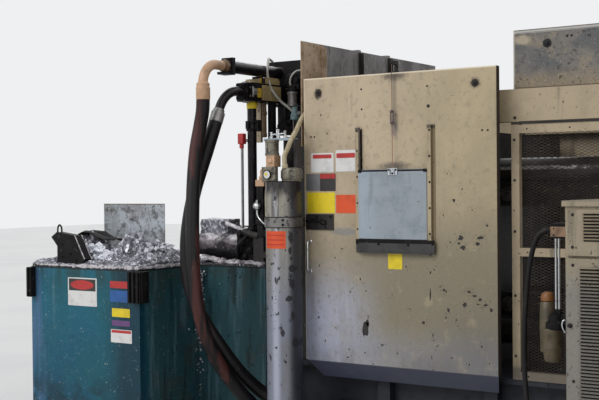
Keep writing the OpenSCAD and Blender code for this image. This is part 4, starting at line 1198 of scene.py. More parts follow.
def add_latch():
    """Latch strap: a greasy plate with its bar, keeper and bolts"""
    low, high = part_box("latch_plate")
    shape = Shape()
    shape.rod((low.x + 0.004, low.y - 0.007, 1.352), (high.x - 0.05, low.y - 0.007, 1.350), 0.007, 0.006)
    for x in (low.x + 0.03, low.x + 0.11):
        shape.lathe((x - 0.008, low.y - 0.006, 1.351),
                    [(0.009, 0), (0.012, 0.002), (0.012, 0.014), (0.009, 0.016)], ACROSS, 20)
    for x, z in ((0.03, 1.314), (0.09, 1.376), (0.15, 1.314), (0.185, 1.376)):
        shape.bolt((x, low.y, z), OUT, 0.010)
    shape.ball((0.075, low.y - 0.006, 1.366), 0.012, (1.2, 0.6, 1))
    shape.ball((0.138, low.y - 0.004, 1.338), 0.014, (1.6, 0.5, 0.8))
    shape.piece("latch_bar", "black_grease", edge=0.0005, body="door")


def add_handle():
    """Bow of the pull handle, with a flange at each end"""
    low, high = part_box("door_handle")
    x = (low.x + high.x) / 2
    r = (high.x - low.x) / 2
    y = low.y + r
    bend = 0.018
    points = [(x, FACE_Y - 0.001, high.z - r)]
    for k in range(7):
        angle = math.radians(15 * k)
        points.append((x, y + bend * (1 - math.sin(angle)), high.z - r - bend * (1 - math.cos(angle))))
    for k in range(7):
        angle = math.radians(15 * k)
        points.append((x, y + bend * (1 - math.cos(angle)), low.z + r + bend * (1 - math.sin(angle))))
    points.append((x, FACE_Y - 0.001, low.z + r))
    shape = Shape().tube(points, r, 20)
    for z in (high.z - r, low.z + r):
        shape.lathe((x, FACE_Y, z), [(r * 1.6, 0), (r * 1.6, 0.002), (r * 1.1, 0.005)], OUT, 24)
    shape.piece("handle_bow", "chrome", replaces=("door_handle",), body="door")


add_door_bolts()
add_door_chips()
add_plates(DOOR_PLATES, FACE_Y, "door")
add_rail_bolts()
add_ledge()
add_hatch_face()
add_hatch_cable()
add_cable_pulley()
add_latch()
add_handle()


# Guards: expanded mesh with its diamonds' width and height, bolts, and details of the top box
DIAMOND = (0.037, 0.016)
STRAND = 0.0024


def add_expanded_mesh(name):
    """Expanded metal: zigzag strands that meet at their bends"""
    low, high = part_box(name)
    y = (low.y + high.y) / 2
    half_t = (high.y - low.y) / 2 * 0.8
    across, up = DIAMOND
    columns = int((high.x - low.x) / (across / 2))
    rows = int((high.z - low.z) / (up / 2)) - 1
    wide = (high.x - low.x) / columns
    tall = (high.z - low.z) / (rows + 1)
    verts = []
    faces = []
    for row in range(0, rows, 2):
        base = low.z + tall * (row + 1)
        start = len(verts)
        for i in range(columns + 1):
            x = low.x + wide * i
            z = base + (tall / 2 if i % 2 else -tall / 2)
            lean = half_t * (0.5 if i % 2 else -0.5)
            for dy, dz in ((-half_t, -STRAND / 2), (half_t, -STRAND / 2), (half_t, STRAND / 2),
                           (-half_t, STRAND / 2)):
                verts.append((x, y + dy * 0.5 + lean, z + dz))
        for i in range(columns):
            a = start + 4 * i
            b = a + 4
            for k in range(4):
                faces.append((a + k, a + (k + 1) % 4, b + (k + 1) % 4, b + k))
    mirrored = []
    shift = len(verts)
    for x, py, pz in verts:
        mirrored.append((x, 2 * y - py, pz))
    for row in range(0, rows, 2):
        start = (row // 2) * 4 * (columns + 1)
        for i in range(columns + 1):
            flip = tall if i % 2 == 0 else -tall
            for k in range(4):
                x, py, pz = mirrored[start + 4 * i + k]
                mirrored[start + 4 * i + k] = (x, py, min(high.z, pz + flip) if i % 2 == 0 else pz + flip)
    mesh = bpy.data.meshes.new(name)
    mesh.from_pydata(verts + [(x, py, pz + tall) for x, py, pz in mirrored], [],
                     faces + [tuple(v + shift for v in f) for f in faces])
    mesh.materials.append(MATERIALS["mesh_steel"])
    obj = bpy.data.objects.new(name + "_strands", mesh)
    SCENE.collection.objects.link(obj)
    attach(obj, "machine")
    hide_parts(name)


add_expanded_mesh("front_mesh")
add_expanded_mesh("rear_mesh")

BEAM_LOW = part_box("track_beam")[0]
COVER_LOW, COVER_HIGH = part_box("top_cover")
# How far the guards' faces stand out from the middle, and the bolts along their posts
GUARD_Y = 0.85
POST_BOLTS_X = (1.288, 2.875)
POST_BOLTS_Z = (0.62, 0.95, 1.30, 1.58, 1.80)


def add_guard_bolts():
    """Bolts and rivets of the track beam and the guards, and a dark strip of painted shadow under the beam"""
    shape = Shape()
    face = BEAM_LOW.y
    for x in (1.292, 1.78, 2.28, 2.78):
        shape.bolt((x, face, BEAM_LOW.z + 0.02), OUT, 0.012)
    for z in POST_BOLTS_Z:
        for x in POST_BOLTS_X:
            shape.bolt((x, -GUARD_Y, z), OUT, 0.010)
    for z in (0.60, 1.00, 1.40, 1.78):
        shape.bolt((0.0, GUARD_Y, z), BACK, 0.012)
    for x in (1.36, 1.60, 1.95, 2.30, 2.65):
        for z in (0.512, 1.188, 1.858):
            shape.ball((x, -GUARD_Y, z), 0.005, (1, 0.5, 1))
    # Dark strip of painted shadow in the gap under the track beam
    shape.box((1.27, -GUARD_Y - 0.003, BEAM_LOW.z - 0.016), (2.90, -GUARD_Y, BEAM_LOW.z - 0.002))
    shape.piece("guard_bolts", "beige_paint", DARK_STEEL, edge=0.0005)


def add_cover_details():
    """Folded seams, joint straps and rivets of the top box, and its lifting bolt"""
    shape = Shape()
    y = COVER_LOW.y
    z = COVER_HIGH.z
    shape.box((COVER_LOW.x + 0.012, y - 0.003, z - 0.016), (COVER_HIGH.x - 0.012, y + 0.01, z - 0.004))
    shape.box((COVER_LOW.x + 0.012, y - 0.003, COVER_LOW.z + 0.014),
              (COVER_HIGH.x - 0.012, y + 0.01, COVER_LOW.z + 0.026))
    for x in (1.80, 2.34):
        shape.box((x - 0.014, y - 0.002, COVER_LOW.z + 0.026), (x + 0.014, y + 0.01, z - 0.016))
    for x in (1.286, 2.884):
        for i in range(5):
            shape.ball((x + (0.01 if x < 2 else -0.01), y - 0.001, COVER_LOW.z + 0.05 + 0.06 * i), 0.004,
                       (1, 0.5, 1))
    shape.piece("cover_seams", "cover_paint", edge=0.001)
    shape = Shape()
    shape.lathe((1.464, y, 2.318), [(0.024, 0), (0.024, 0.003), (0.012, 0.004)], OUT, 28)
    shape.bolt((1.464, y - 0.004, 2.318), OUT, 0.017)
    for x in (1.575, 1.60):
        shape.ball((x, y, 2.348), 0.007, (1, 0.5, 1))
    shape.piece("cover_bolt", "dark_steel")


def add_side_guard_details():
    """Joint strap and bolts of the side guard's front sheet, and what its rear sheet carries"""
    front_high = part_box("side_guard_front")[1]
    rear_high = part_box("side_guard_rear")[1]
    x = front_high.x
    shape = Shape()
    for z in (2.06, 2.14, 2.24, 2.36):
        shape.bolt((x, front_high.y - 0.025, z), ACROSS, 0.013)
    shape.box((x, front_high.y - 0.045, 1.95), (x + 0.004, front_high.y + 0.02, 2.42))
    shape.piece("guard_joint", "rusty_sheet", edge=0.0008)
    shape = Shape()
    top = rear_high.z - 0.012
    for y in (-0.20, 0.20):
        shape.box((x, y - 0.02, 2.08), (x + 0.005, y + 0.02, top - 0.006))
        shape.box((x + 0.005, y - 0.004, 2.10), (x + 0.03, y, top - 0.012))
        for z in (2.12, 2.38):
            shape.bolt((x + 0.005, y + 0.01, z), ACROSS, 0.013)
    shape.piece("guard_stiffeners", "galvanised", DARK_STEEL, edge=0.0008)
    shape = Shape()
    shape.box((x, 0.34, 2.19), (x + 0.008, 0.48, 2.33))
    for low, high in ((0.345, 0.357), (0.463, 0.475)):
        shape.box((x + 0.008, low, 2.20), (x + 0.05, high, 2.32))
    axle_z = 2.26
    shape.rod((x + 0.03, 0.33, axle_z), (x + 0.03, 0.49, axle_z), 0.012, sides=20)
    shape.ball((x + 0.02, 0.41, axle_z), 0.035, (0.7, 1.2, 1.1))
    for y in (0.36, 0.46):
        for z in (2.205, 2.315):
            shape.bolt((x + 0.008, y, z), ACROSS, 0.011)
    shape.piece("roller_bracket", "black_grease", edge=0.001)


add_guard_bolts()
add_cover_details()
add_side_guard_details()


# Shot end: pipes with their flanges, crosshead, posts, crusted bars and yoke
PIPE_LOW, PIPE_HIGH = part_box("upper_pipe")
BLOCK_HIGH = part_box("lower_pipe")[1]
HEAD_LOW, HEAD_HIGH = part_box("crosshead")
POST_LOW, POST_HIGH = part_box("shot_posts")
PIPE_X = (PIPE_LOW.x + PIPE_HIGH.x) / 2
PIPE_R = 0.040
ELBOW_BORE = 0.030
COLLAR_R = PIPE_HIGH.x - PIPE_X
UPPER_Z = PIPE_HIGH.z - 0.054
LOWER_Z = BLOCK_HIGH.z - 0.054
HEAD_Y = PIPE_HIGH.y
HOSE_Y = UPPER_ROUTE[0][1]
FLANGE_Y = HOSE_Y + 0.25
LOWER_END = BLOCK_HIGH.y


def add_flange(shape, y, z):
    """A block flange with its bolts, square to Y"""
    half_w = COLLAR_R - 0.002
    half_h = 0.054
    shape.box((PIPE_X - half_w, y, z - half_h), (PIPE_X + half_w, y + 0.030, z + half_h))
    shape.box((PIPE_X - half_w * 0.8, y - 0.016, z - half_h * 0.94),
              (PIPE_X + half_w * 0.8, y, z + half_h * 0.94))
    for s in (-1, 1):
        for u in (-1, 1):
            shape.bolt((PIPE_X + s * 0.022, y - 0.016, z + u * 0.040), OUT, 0.013)


def add_upper_pipe():
    """Upper pipe, its flange and nut, and the elbow down to its hose"""
    Shape().rod((PIPE_X, HEAD_Y, UPPER_Z), (PIPE_X, FLANGE_Y, UPPER_Z), PIPE_R, sides=40).piece(
        "upper_pipe_run", "black_grease", PIPE_BLACK, replaces=("upper_pipe",))
    shape = Shape()
    add_flange(shape, FLANGE_Y, UPPER_Z)
    shape.box((PIPE_X - 0.036, FLANGE_Y - 0.06, UPPER_Z - 0.054), (PIPE_X + 0.036, FLANGE_Y, UPPER_Z - 0.038))
    shape.piece("upper_flange", "black_grease", edge=0.0015)
    radius = 0.13
    centre_y = HOSE_Y + radius
    points = [Vector((PIPE_X, FLANGE_Y - 0.012, UPPER_Z)), Vector((PIPE_X, centre_y, UPPER_Z))]
    for k in range(1, 13):
        angle = math.radians(7.5 * k)
        points.append(Vector((PIPE_X, centre_y - radius * math.sin(angle),
                              UPPER_Z - radius * (1 - math.cos(angle)))))
    shape = Shape().tube(points, ELBOW_BORE, 36)
    base = UPPER_ROUTE[0][2]
    shape.lathe((PIPE_X, HOSE_Y, base), [(0.041, -0.006), (COLLAR_R, 0.0), (COLLAR_R, 0.070),
                                         (0.040, 0.074), (0.040, 0.078), (0.041, 0.082), (0.041, 0.094),
                                         (0.034, 0.100), (0.031, 0.106)], sides=40)
    shape.piece("upper_elbow", "pale_hose", ELBOW_PAINT, edge=0.0008)
    shape = Shape().lathe((PIPE_X, FLANGE_Y - 0.016, UPPER_Z),
                          [(0.040, 0), (0.043, 0.004), (0.043, 0.018), (0.036, 0.026)], OUT, 8)
    shape.lathe((PIPE_X, FLANGE_Y - 0.046, UPPER_Z), [(0.035, 0), (0.035, 0.010), (0.031, 0.014)], OUT, 32)
    shape.piece("upper_nut", "dark_steel", BROWN_STEEL, edge=0.001)


def add_lower_pipe():
    """Lower pipe's bend, collar and flange, and the ring on the arm"""
    bend = 0.22
    turn = 65
    bend_y = LOWER_END - 0.07
    points = [Vector((PIPE_X, LOWER_END - 0.02, LOWER_Z)), Vector((PIPE_X, bend_y, LOWER_Z))]
    for k in range(1, 14):
        angle = math.radians(turn * k / 13)
        points.append(Vector((PIPE_X, bend_y - bend * math.sin(angle),
                              LOWER_Z - bend * (1 - math.cos(angle)))))
    end = points[-1]
    way = Vector((0, -math.cos(math.radians(turn)), -math.sin(math.radians(turn))))
    Shape().tube(points + [end + way * 0.02], ELBOW_BORE, 36).piece(
        "lower_bend", "black_grease", PIPE_BLACK, replaces=("lower_pipe",))
    shape = Shape().lathe(end, [(0.032, 0), (0.036, 0.004), (0.036, 0.020), (COLLAR_R, 0.024),
                                (COLLAR_R, 0.086), (0.041, 0.094)], way, 40)
    shape.piece("lower_collar", "valve_steel", GREY_STEEL, edge=0.0006)
    shape = Shape()
    add_flange(shape, LOWER_END - 0.030, LOWER_Z)
    shape.piece("lower_flange", "black_grease", edge=0.0015)
    shape = Shape()
    shape.lathe((PIPE_X, LOWER_END + 0.004, LOWER_Z),
                [(0.066, 0), (0.070, 0.004), (0.070, 0.090), (0.064, 0.098)], BACK, 40)
    for x, z in circle(6, 0.056, 30):
        shape.bolt((PIPE_X + x, LOWER_END + 0.004, LOWER_Z + z), OUT, 0.012)
    shape.piece("arm_ring", "valve_steel", GREY_STEEL, edge=0.001)


def add_head_details():
    """What stands on the arm and the crosshead, and what hangs from them"""
    arm_top = HEAD_HIGH.z - 0.17
    add_arm_valve(arm_top)
    add_head_bolts(-HEAD_Y)
    add_head_cylinder(HEAD_Y)
    add_head_tubes(HEAD_Y)
    add_hanging_parts(arm_top - 0.12)


def add_arm_valve(arm_top):
    """Valve block on the arm, with black plates and yellow marks"""
    x = PIPE_X
    shape = Shape()
    shape.box((x - 0.055, -0.660, arm_top), (x + 0.058, -0.430, arm_top + 0.030))
    shape.box((x - 0.045, -0.560, arm_top + 0.030), (x + 0.058, -0.440, arm_top + 0.044))
    shape.box((x + 0.060, -0.640, arm_top - 0.110), (x + 0.068, -0.430, arm_top - 0.012))
    for y in (-0.62, -0.46):
        shape.bolt((x + 0.068, y, arm_top - 0.03), ACROSS, 0.012)
        shape.bolt((x + 0.02, y, arm_top + 0.030), UP, 0.012)
    shape.piece("arm_valve", "valve_steel", VALVE_YELLOW, edge=0.0015)
    shape = Shape()
    shape.box((x + 0.052, -0.655, arm_top + 0.002), (x + 0.060, -0.600, arm_top + 0.036))
    shape.box((x - 0.002, -0.660, arm_top + 0.028), (x + 0.050, -0.605, arm_top + 0.044))
    shape.box((x + 0.060, -0.730, arm_top - 0.100), (x + 0.067, -0.650, arm_top - 0.020))
    shape.piece("arm_window", "black_grease", edge=0.001)
    shape = Shape()
    shape.box((x + 0.060, -0.655, arm_top + 0.002), (x + 0.062, -0.645, arm_top + 0.034))
    shape.box((x + 0.068, -0.700, arm_top - 0.095), (x + 0.070, -0.655, arm_top - 0.035))
    shape.piece("arm_marks", "valve_steel", YELLOW_STEEL)


def add_head_bolts(near):
    """Bolts on the crosshead, its side cover and the cap on its top"""
    x = PIPE_X
    low = HEAD_LOW
    high = HEAD_HIGH
    shape = Shape()
    for s in (-1, 1):
        for z in (high.z - 0.04, high.z - 0.26):
            shape.bolt((low.x, s * (near - 0.05), z), LEFT, 0.024)
            shape.bolt((high.x, s * (near - 0.05), z), ACROSS, 0.024)
    for px in (low.x + 0.05, high.x - 0.05):
        for z in (high.z - 0.04, high.z - 0.26):
            shape.bolt((px, -near, z), OUT, 0.020)
            shape.bolt((px, near, z), BACK, 0.020)
    shape.box((low.x + 0.09, -near - 0.014, high.z - 0.23), (high.x - 0.05, -near, high.z - 0.05))
    shape.lathe((low.x + 0.21, -near - 0.014, high.z - 0.14),
                [(0.055, 0), (0.055, 0.02), (0.045, 0.03), (0.02, 0.034)], OUT, 32)
    shape.lathe((x, 0, high.z), [(0.10, 0), (0.10, 0.02), (0.085, 0.03), (0.04, 0.032)], UP, 40)
    for px, py in circle(8, 0.075):
        shape.bolt((x + px, py, high.z + 0.028), UP, 0.014)
    shape.piece("head_bolts", "black_grease", edge=0.001)


def add_head_cylinder(face):
    """Small upright cylinder on the crosshead's side, with its valve and fitting below"""
    base = Vector((-0.447, face - 0.072, 2.085))
    shape = Shape()
    shape.lathe(base, [(0.024, 0), (0.036, 0.004), (0.036, 0.018), (0.031, 0.022), (0.031, 0.080),
                       (0.036, 0.084), (0.036, 0.098)], sides=36)
    shape.rod((-0.655, face - 0.035, 1.950), (-0.500, face - 0.035, 1.946), 0.006, sides=12)
    shape.rod((-0.545, face - 0.010, 2.214), (-0.418, face - 0.010, 2.210), 0.005, sides=12)
    shape.piece("head_cylinder", "bright_steel")
    shape = Shape()
    shape.lathe(base + UP * 0.098, [(0.030, 0), (0.030, 0.016), (0.022, 0.020), (0.022, 0.040),
                                    (0.012, 0.046)], sides=24)
    shape.box((-0.490, face - 0.060, 2.20), (-0.405, face, 2.235))
    shape.box((-0.470, face - 0.050, 2.06), (-0.425, face, 2.084))
    shape.box((-0.550, face - 0.090, 1.935), (-0.485, face - 0.020, 1.992))
    shape.box((-0.535, face - 0.080, 1.992), (-0.500, face - 0.030, 2.024))
    shape.rod((-0.515, face - 0.050, 2.02), (-0.515, face - 0.050, 2.11), 0.011, sides=16)
    shape.rod((-0.568, face - 0.06, 1.960), (-0.550, face - 0.06, 1.960), 0.018, sides=16)
    shape.ball((-0.478, face - 0.06, 1.985), 0.022)
    shape.box((-0.600, face - 0.022, 1.90), (-0.49, face - 0.002, 2.102))
    shape.piece("side_valve", "black_grease", edge=0.001)
    shape = Shape()
    shape.lathe((-0.432, face - 0.072, 1.996), [(0.012, 0), (0.026, 0.004), (0.026, 0.036), (0.020, 0.042),
                                                (0.020, 0.088)], sides=20)
    shape.piece("teal_fitting", "junction_paint", TEAL_PAINT, edge=0.0006)


def add_head_tubes(face):
    """Thin tubes that bend around the crosshead"""
    shape = Shape()
    bow = [(-0.640, face - 0.020, 2.401), (-0.618, -0.440, 2.412), (-0.572, -0.515, 2.392),
           (-0.556, -0.548, 2.340), (-0.556, -0.550, 2.290), (-0.537, -0.545, 2.210),
           (-0.515, -0.520, 2.160), (-0.494, -0.480, 2.115), (-0.455, -0.450, 2.075),
           (-0.430, -0.425, 2.040)]
    hook = [(-0.395, face - 0.004, 2.330), (-0.430, face - 0.045, 2.322), (-0.462, face - 0.060, 2.286),
            (-0.470, face - 0.062, 2.24), (-0.462, face - 0.050, 2.215)]
    shape.tube(smooth_path(bow), 0.0085, 12)
    shape.tube(smooth_path(hook), 0.0065, 12)
    shape.piece("head_tubes", "pale_hose", TUBE_GREY)


def add_hanging_parts(under):
    """Strap, pipe and column that hang from the arm's underside"""
    shape = Shape()
    shape.box((-0.645, -0.562, 1.850), (-0.606, -0.540, under + 0.002))
    shape.box((-0.648, -0.572, 1.930), (-0.603, -0.540, 1.948))
    shape.bolt((-0.625, -0.562, 2.06), OUT, 0.010)
    shape.piece("tan_strap", "beige_paint", edge=0.001)
    x = -0.584
    y = -0.552
    shape = Shape()
    shape.rod((x, y, 1.895), (x, y, under + 0.002), 0.0155, sides=24)
    shape.lathe((x, y, 2.03), [(0.018, 0), (0.021, 0.004), (0.021, 0.022), (0.018, 0.026)], sides=6)
    shape.lathe((x, y, 1.882), [(0.010, 0), (0.020, 0.004), (0.020, 0.026), (0.016, 0.030)], sides=6)
    shape.piece("brown_pipe", "dark_steel", BROWN_STEEL)
    shape = Shape()
    shape.box((-0.568, -0.535, 1.838), (-0.528, -0.495, under + 0.002))
    shape.box((-0.578, -0.545, 1.838), (-0.518, -0.485, 1.860))
    shape.bolt((-0.528, -0.515, 1.95), ACROSS, 0.012)
    shape.piece("dark_column", "black_grease", edge=0.001)


def add_post_details():
    """Yellow caps, clamps, and the red switch with its rod on the near post"""
    shape = Shape()
    clamps = Shape()
    for s in (-1, 1):
        y = s * (POST_HIGH.y - 0.030)
        shape.lathe((PIPE_X, y, POST_HIGH.z - 0.045),
                    [(0.031, 0), (0.034, 0.003), (0.034, 0.040), (0.031, 0.045)], sides=32)
        for z in (2.0, 1.955):
            clamps.lathe((PIPE_X, y, z - 0.035), [(0.031, 0), (0.038, 0.002), (0.038, 0.016),
                                                  (0.031, 0.018)], sides=32)
        clamps.box((PIPE_X + 0.020, y - 0.010, 1.918), (PIPE_X + 0.056, y + 0.030, 1.992))
        clamps.box((PIPE_X - 0.02, y - 0.045, 1.935), (PIPE_X + 0.004, y - 0.026, 1.985))
        for z in (1.935, 1.978):
            clamps.bolt((PIPE_X + 0.040, y - 0.010, z), OUT, 0.010)
        clamps.lathe((PIPE_X, y, POST_LOW.z), [(0.048, 0), (0.048, 0.012), (0.036, 0.030), (0.031, 0.034)],
                     sides=6)
    shape.piece("post_caps", "valve_steel", YELLOW_PLATE, edge=0.0005)
    clamps.piece("post_clamps", "black_grease", edge=0.001)
    y = -(POST_HIGH.y - 0.030)
    x = PIPE_X - 0.054
    shape = Shape()
    shape.box((x - 0.020, y - 0.060, 1.836), (x + 0.024, y - 0.022, 1.905))
    shape.lathe((x, y - 0.042, 1.806), [(0.010, 0), (0.015, 0.006), (0.015, 0.030)], sides=16)
    shape.piece("red_switch", "junction_paint", RED_PLATE, edge=0.004)
    shape = Shape()
    shape.rod((x + 0.004, y - 0.042, 1.29), (x + 0.004, y - 0.042, 1.812), 0.009, sides=16)
    shape.rod((x + 0.004, y - 0.042, 1.30), (PIPE_X - 0.01, y - 0.01, 1.30), 0.006, sides=12)
    shape.rod((x, y - 0.030, 1.86), (PIPE_X - 0.02, y - 0.010, 1.86), 0.010, sides=12)
    shape.piece("switch_rod", "bright_steel", GREY_STEEL)


def add_crusted_bars():
    """Shot frame bars under a lumpy crust of frozen metal"""
    low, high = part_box("shot_bars")
    radius = (high.z - low.z) / 2
    z = (high.z + low.z) / 2
    start = low.x
    rings = 74
    sides = 56
    length = high.x - low.x
    shape = Shape()
    for side in (-1, 1):
        y = side * (high.y - radius)
        rows = []
        for i in range(rings + 1):
            x = start + length * i / rings
            row = []
            for c, s in turns(sides):
                lump = noise.fractal(Vector((x * 9, c * 1.4 + side, s * 1.4)), 0.9, 2.1, 5)
                swell = max(0.0, lump + 0.15) * 0.016 * min(1.0, (high.x - x) / 0.3)
                row.append(shape.bm.verts.new((x, y + (radius + swell) * c, z + (radius + swell) * s)))
            rows.append(row)
        shape.skin(rows)
    shape.piece("bars_crust", "splashed_steel", BAR_CRUST, replaces=("shot_bars",))


def add_yoke_details():
    """Yoke bolts, the shot cylinder's rods, and lumps on the yoke's face"""
    low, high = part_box("shot_yoke")
    shape = Shape()
    for y in (-0.60, -0.36, 0.36, 0.60):
        for z in (low.z + 0.03, high.z - 0.03):
            shape.bolt((low.x, y, z), LEFT, 0.022)
    for y in (-0.45, 0.45):
        shape.bolt((PIPE_X, y, high.z), UP, 0.026)
    shape.piece("yoke_bolts", "dark_steel", edge=0.001)
    shape = Shape()
    cylinder_low, cylinder_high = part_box("shot_cylinder")
    top = HEAD_LOW.z
    radius = (cylinder_high.x - cylinder_low.x) / 2
    end = cylinder_high.z - 0.55
    for z in (end, top - 0.05):
        shape.lathe((PIPE_X, 0, z), [(radius, 0), (radius + 0.018, 0.004), (radius + 0.018, 0.036),
                                     (radius, 0.04)], sides=48)
    for x, y in circle(8, 0.118, 22):
        shape.rod((PIPE_X + x, y, end + 0.02), (PIPE_X + x, y, top), 0.008, sides=10)
    shape.lathe((PIPE_X, 0, 1.25), [(0.041, 0), (0.070, 0.004), (0.070, 0.05), (0.041, 0.054)], sides=32)
    shape.piece("cylinder_rods", "bright_steel", edge=0.001)
    shape = Shape()
    face = low.y
    for x, z, size in ((-0.640, 1.255, 0.026), (-0.590, 1.262, 0.030), (-0.548, 1.240, 0.024),
                       (-0.625, 1.200, 0.022), (-0.560, 1.150, 0.028), (-0.655, 1.130, 0.020),
                       (-0.600, 1.105, 0.024)):
        shape.ball((x, face - 0.002, z), size, (1, 0.7, 1), 14)
    shape.tube([(-0.655, face - 0.012, 1.100), (-0.630, face - 0.030, 1.180),
                (-0.570, face - 0.030, 1.232), (-0.545, face - 0.006, 1.285)], 0.013, 12)
    shape.piece("yoke_lumps", "black_grease")


def crusted_column(shape, centre, reach, z_low, z_high, seed):
    """A lumpy upright block: centre and reach along X and Y"""
    rings = 16
    sides = 40
    rows = []
    for i in range(rings + 1):
        height = z_low + (z_high - z_low) * i / rings
        row = []
        for c, s in turns(sides):
            out_x = math.copysign(abs(c) ** 0.45, c)
            out_y = math.copysign(abs(s) ** 0.45, s)
            lump = noise.fractal(Vector((out_x * 2 + seed, out_y * 2, height * 16)), 0.9, 2.1, 5)
            grow = 1 + 0.14 * lump
            row.append(shape.bm.verts.new((centre[0] + reach[0] * out_x * grow,
                                           centre[1] + reach[1] * out_y * grow, height + 0.012 * lump)))
        rows.append(row)
    shape.skin(rows)


def add_pot_crust():
    """Crusted block behind the near bar, a splashed rod from it to the yoke, and ash along the furnace rim"""
    shape = Shape()
    crusted_column(shape, (-1.005, -0.48), (0.125, 0.090), 1.066, 1.338, 3.0)
    shape.piece("pot_crust", "splashed_steel", DROSS_CRUST)
    shape = Shape()
    shape.tube([(-0.900, -0.55, 1.322), (-0.790, -0.700, 1.318), (-0.700, -0.735, 1.300),
                (-0.600, -0.750, 1.272)], 0.013, 12)
    draw = random.Random(23)
    for _ in range(95):
        along = draw.random()
        x = -0.95 + 0.51 * along
        rise = 0.040 * max(0.0, 1 - along * 2.2)
        size = draw.uniform(0.010, 0.024)
        shape.ball((x, -0.800 + draw.uniform(-0.012, 0.040), 1.062 + rise + draw.uniform(0, 0.010)), size,
                   (draw.uniform(0.8, 1.6), 1.0, draw.uniform(0.6, 1.0)), 8)
    shape.piece("rim_crust", "splashed_steel", ASH_CRUST)


# Accumulator: valves on its shoulder, pale hose, band, plate and fittings at its side
ACC_LOW, ACC_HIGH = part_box("accumulator")
ACC_X = (ACC_LOW.x + ACC_HIGH.x) / 2
ACC_Y = (ACC_LOW.y + ACC_HIGH.y) / 2
ACC_R = 0.107
ACC_TOP = Vector((ACC_X, ACC_Y, ACC_HIGH.z))


def from_shoulder(*places):
    """Places given from the middle of the accumulator's shoulder"""
    return [tuple(ACC_TOP + Vector(p)) for p in places]


def add_accumulator_head():
    """Blocks and valves on the accumulator's shoulder"""
    add_gauge()
    add_bolted_cylinder()
    add_head_plate()
    add_dark_valve()
    add_gas_cap()


def add_gauge():
    """Gauge with its block, white face and yellow sector"""
    shape = Shape()
    shape.box(*from_shoulder((-0.106, -0.070, 0), (-0.044, 0.010, 0.090)))
    shape.box(*from_shoulder((-0.112, -0.062, 0.020), (-0.106, -0.020, 0.070)))
    shape.box(*from_shoulder((-0.102, -0.078, 0.008), (-0.004, -0.060, 0.090)))
    for x, z in ((-0.094, 0.016), (-0.014, 0.016), (-0.094, 0.082), (-0.014, 0.082)):
        shape.bolt(ACC_TOP + Vector((x, -0.078, z)), OUT, 0.008)
    shape.piece("gauge_block", "valve_steel", edge=0.0025, replaces=("accumulator_head",))
    gauge = ACC_TOP + Vector((-0.058, -0.078, 0.044))
    face = 0.0235
    shape = Shape().lathe(gauge, [(0.024, 0), (0.028, 0.003), (0.028, 0.013), (0.024, 0.013), (face, 0.009)],
                          OUT, 36)
    shape.piece("gauge_case", "black_grease")
    shape = Shape().lathe(gauge + OUT * 0.009, [(face, 0), (face, 0.0012)], OUT, 36)
    shape.piece("gauge_face", "valve_steel", WHITE_PLATE)
    shape = Shape()
    shape.box(gauge + Vector((-0.017, -0.0112, -0.004)), gauge + Vector((0.004, -0.0104, 0.009)),
              Matrix.Rotation(math.radians(38), 3, "Y"))
    shape.piece("gauge_sector", "valve_steel", YELLOW_PLATE)


def add_bolted_cylinder():
    """Beige filler block with a bolted cylinder on it"""
    shape = Shape()
    shape.box(*from_shoulder((-0.090, -0.050, 0.090), (-0.030, 0.020, 0.158)))
    shape.lathe(ACC_TOP + Vector((-0.060, -0.050, 0.124)), [(0.018, 0), (0.018, 0.004), (0.010, 0.008)],
                OUT, 6)
    shape.piece("filler_block", "pale_hose", ELBOW_PAINT, edge=0.003)
    shape = Shape()
    centre = ACC_TOP + Vector((-0.075, -0.005, 0.158))
    shape.lathe(centre, [(0.043, 0), (0.043, 0.012), (0.037, 0.014), (0.037, 0.078), (0.043, 0.080),
                         (0.043, 0.094)], sides=36)
    for x, y in circle(6, 0.040, 15):
        foot = centre + Vector((x, y, 0.012))
        shape.bolt(foot, UP, 0.007)
        shape.rod(foot, centre + Vector((x, y, 0.080)), 0.0032, sides=10)
    shape.piece("bolted_cylinder", "valve_steel", edge=0.0008)


def add_head_plate():
    """Plate over the blocks, with its chrome pins"""
    shape = Shape()
    shape.box(*from_shoulder((-0.144, 0.008, 0.252), (0.062, 0.070, 0.260)))
    shape.box(*from_shoulder((-0.144, 0.004, 0.246), (0.062, 0.010, 0.262)))
    shape.piece("head_plate", "galvanised", edge=0.0008)
    shape = Shape()
    for x, tall in ((-0.110, 0.040), (-0.060, 0.055), (-0.010, 0.046)):
        at = ACC_TOP + Vector((x, 0.04, 0.260))
        shape.lathe(at, [(0.008, 0), (0.012, 0.003), (0.012, 0.014), (0.007, 0.018), (0.007, tall - 0.008),
                         (0.010, tall - 0.006), (0.010, tall)], sides=16)
    shape.rod(ACC_TOP + Vector((-0.11, 0.04, 0.285)), ACC_TOP + Vector((-0.01, 0.04, 0.290)), 0.005, sides=12)
    shape.piece("plate_pins", "chrome")


def add_dark_valve():
    """Dark valve under the plate, with a block at each side"""
    shape = Shape()
    shape.box(*from_shoulder((0.0, 0.020, 0.080), (0.062, 0.070, 0.252)))
    for z in (0.11, 0.22):
        for x in (0.012, 0.050):
            shape.bolt(ACC_TOP + Vector((x, 0.020, z)), OUT, 0.009)
    shape.piece("dark_valve", "black_grease", edge=0.002)
    shape = Shape()
    shape.box(*from_shoulder((0.062, 0.018, 0.078), (0.088, 0.066, 0.250)))
    shape.box(*from_shoulder((-0.020, 0.034, 0.086), (0.0, 0.068, 0.236)))
    shape.piece("valve_side", "black_grease", BLACK_PLATE, edge=0.002)


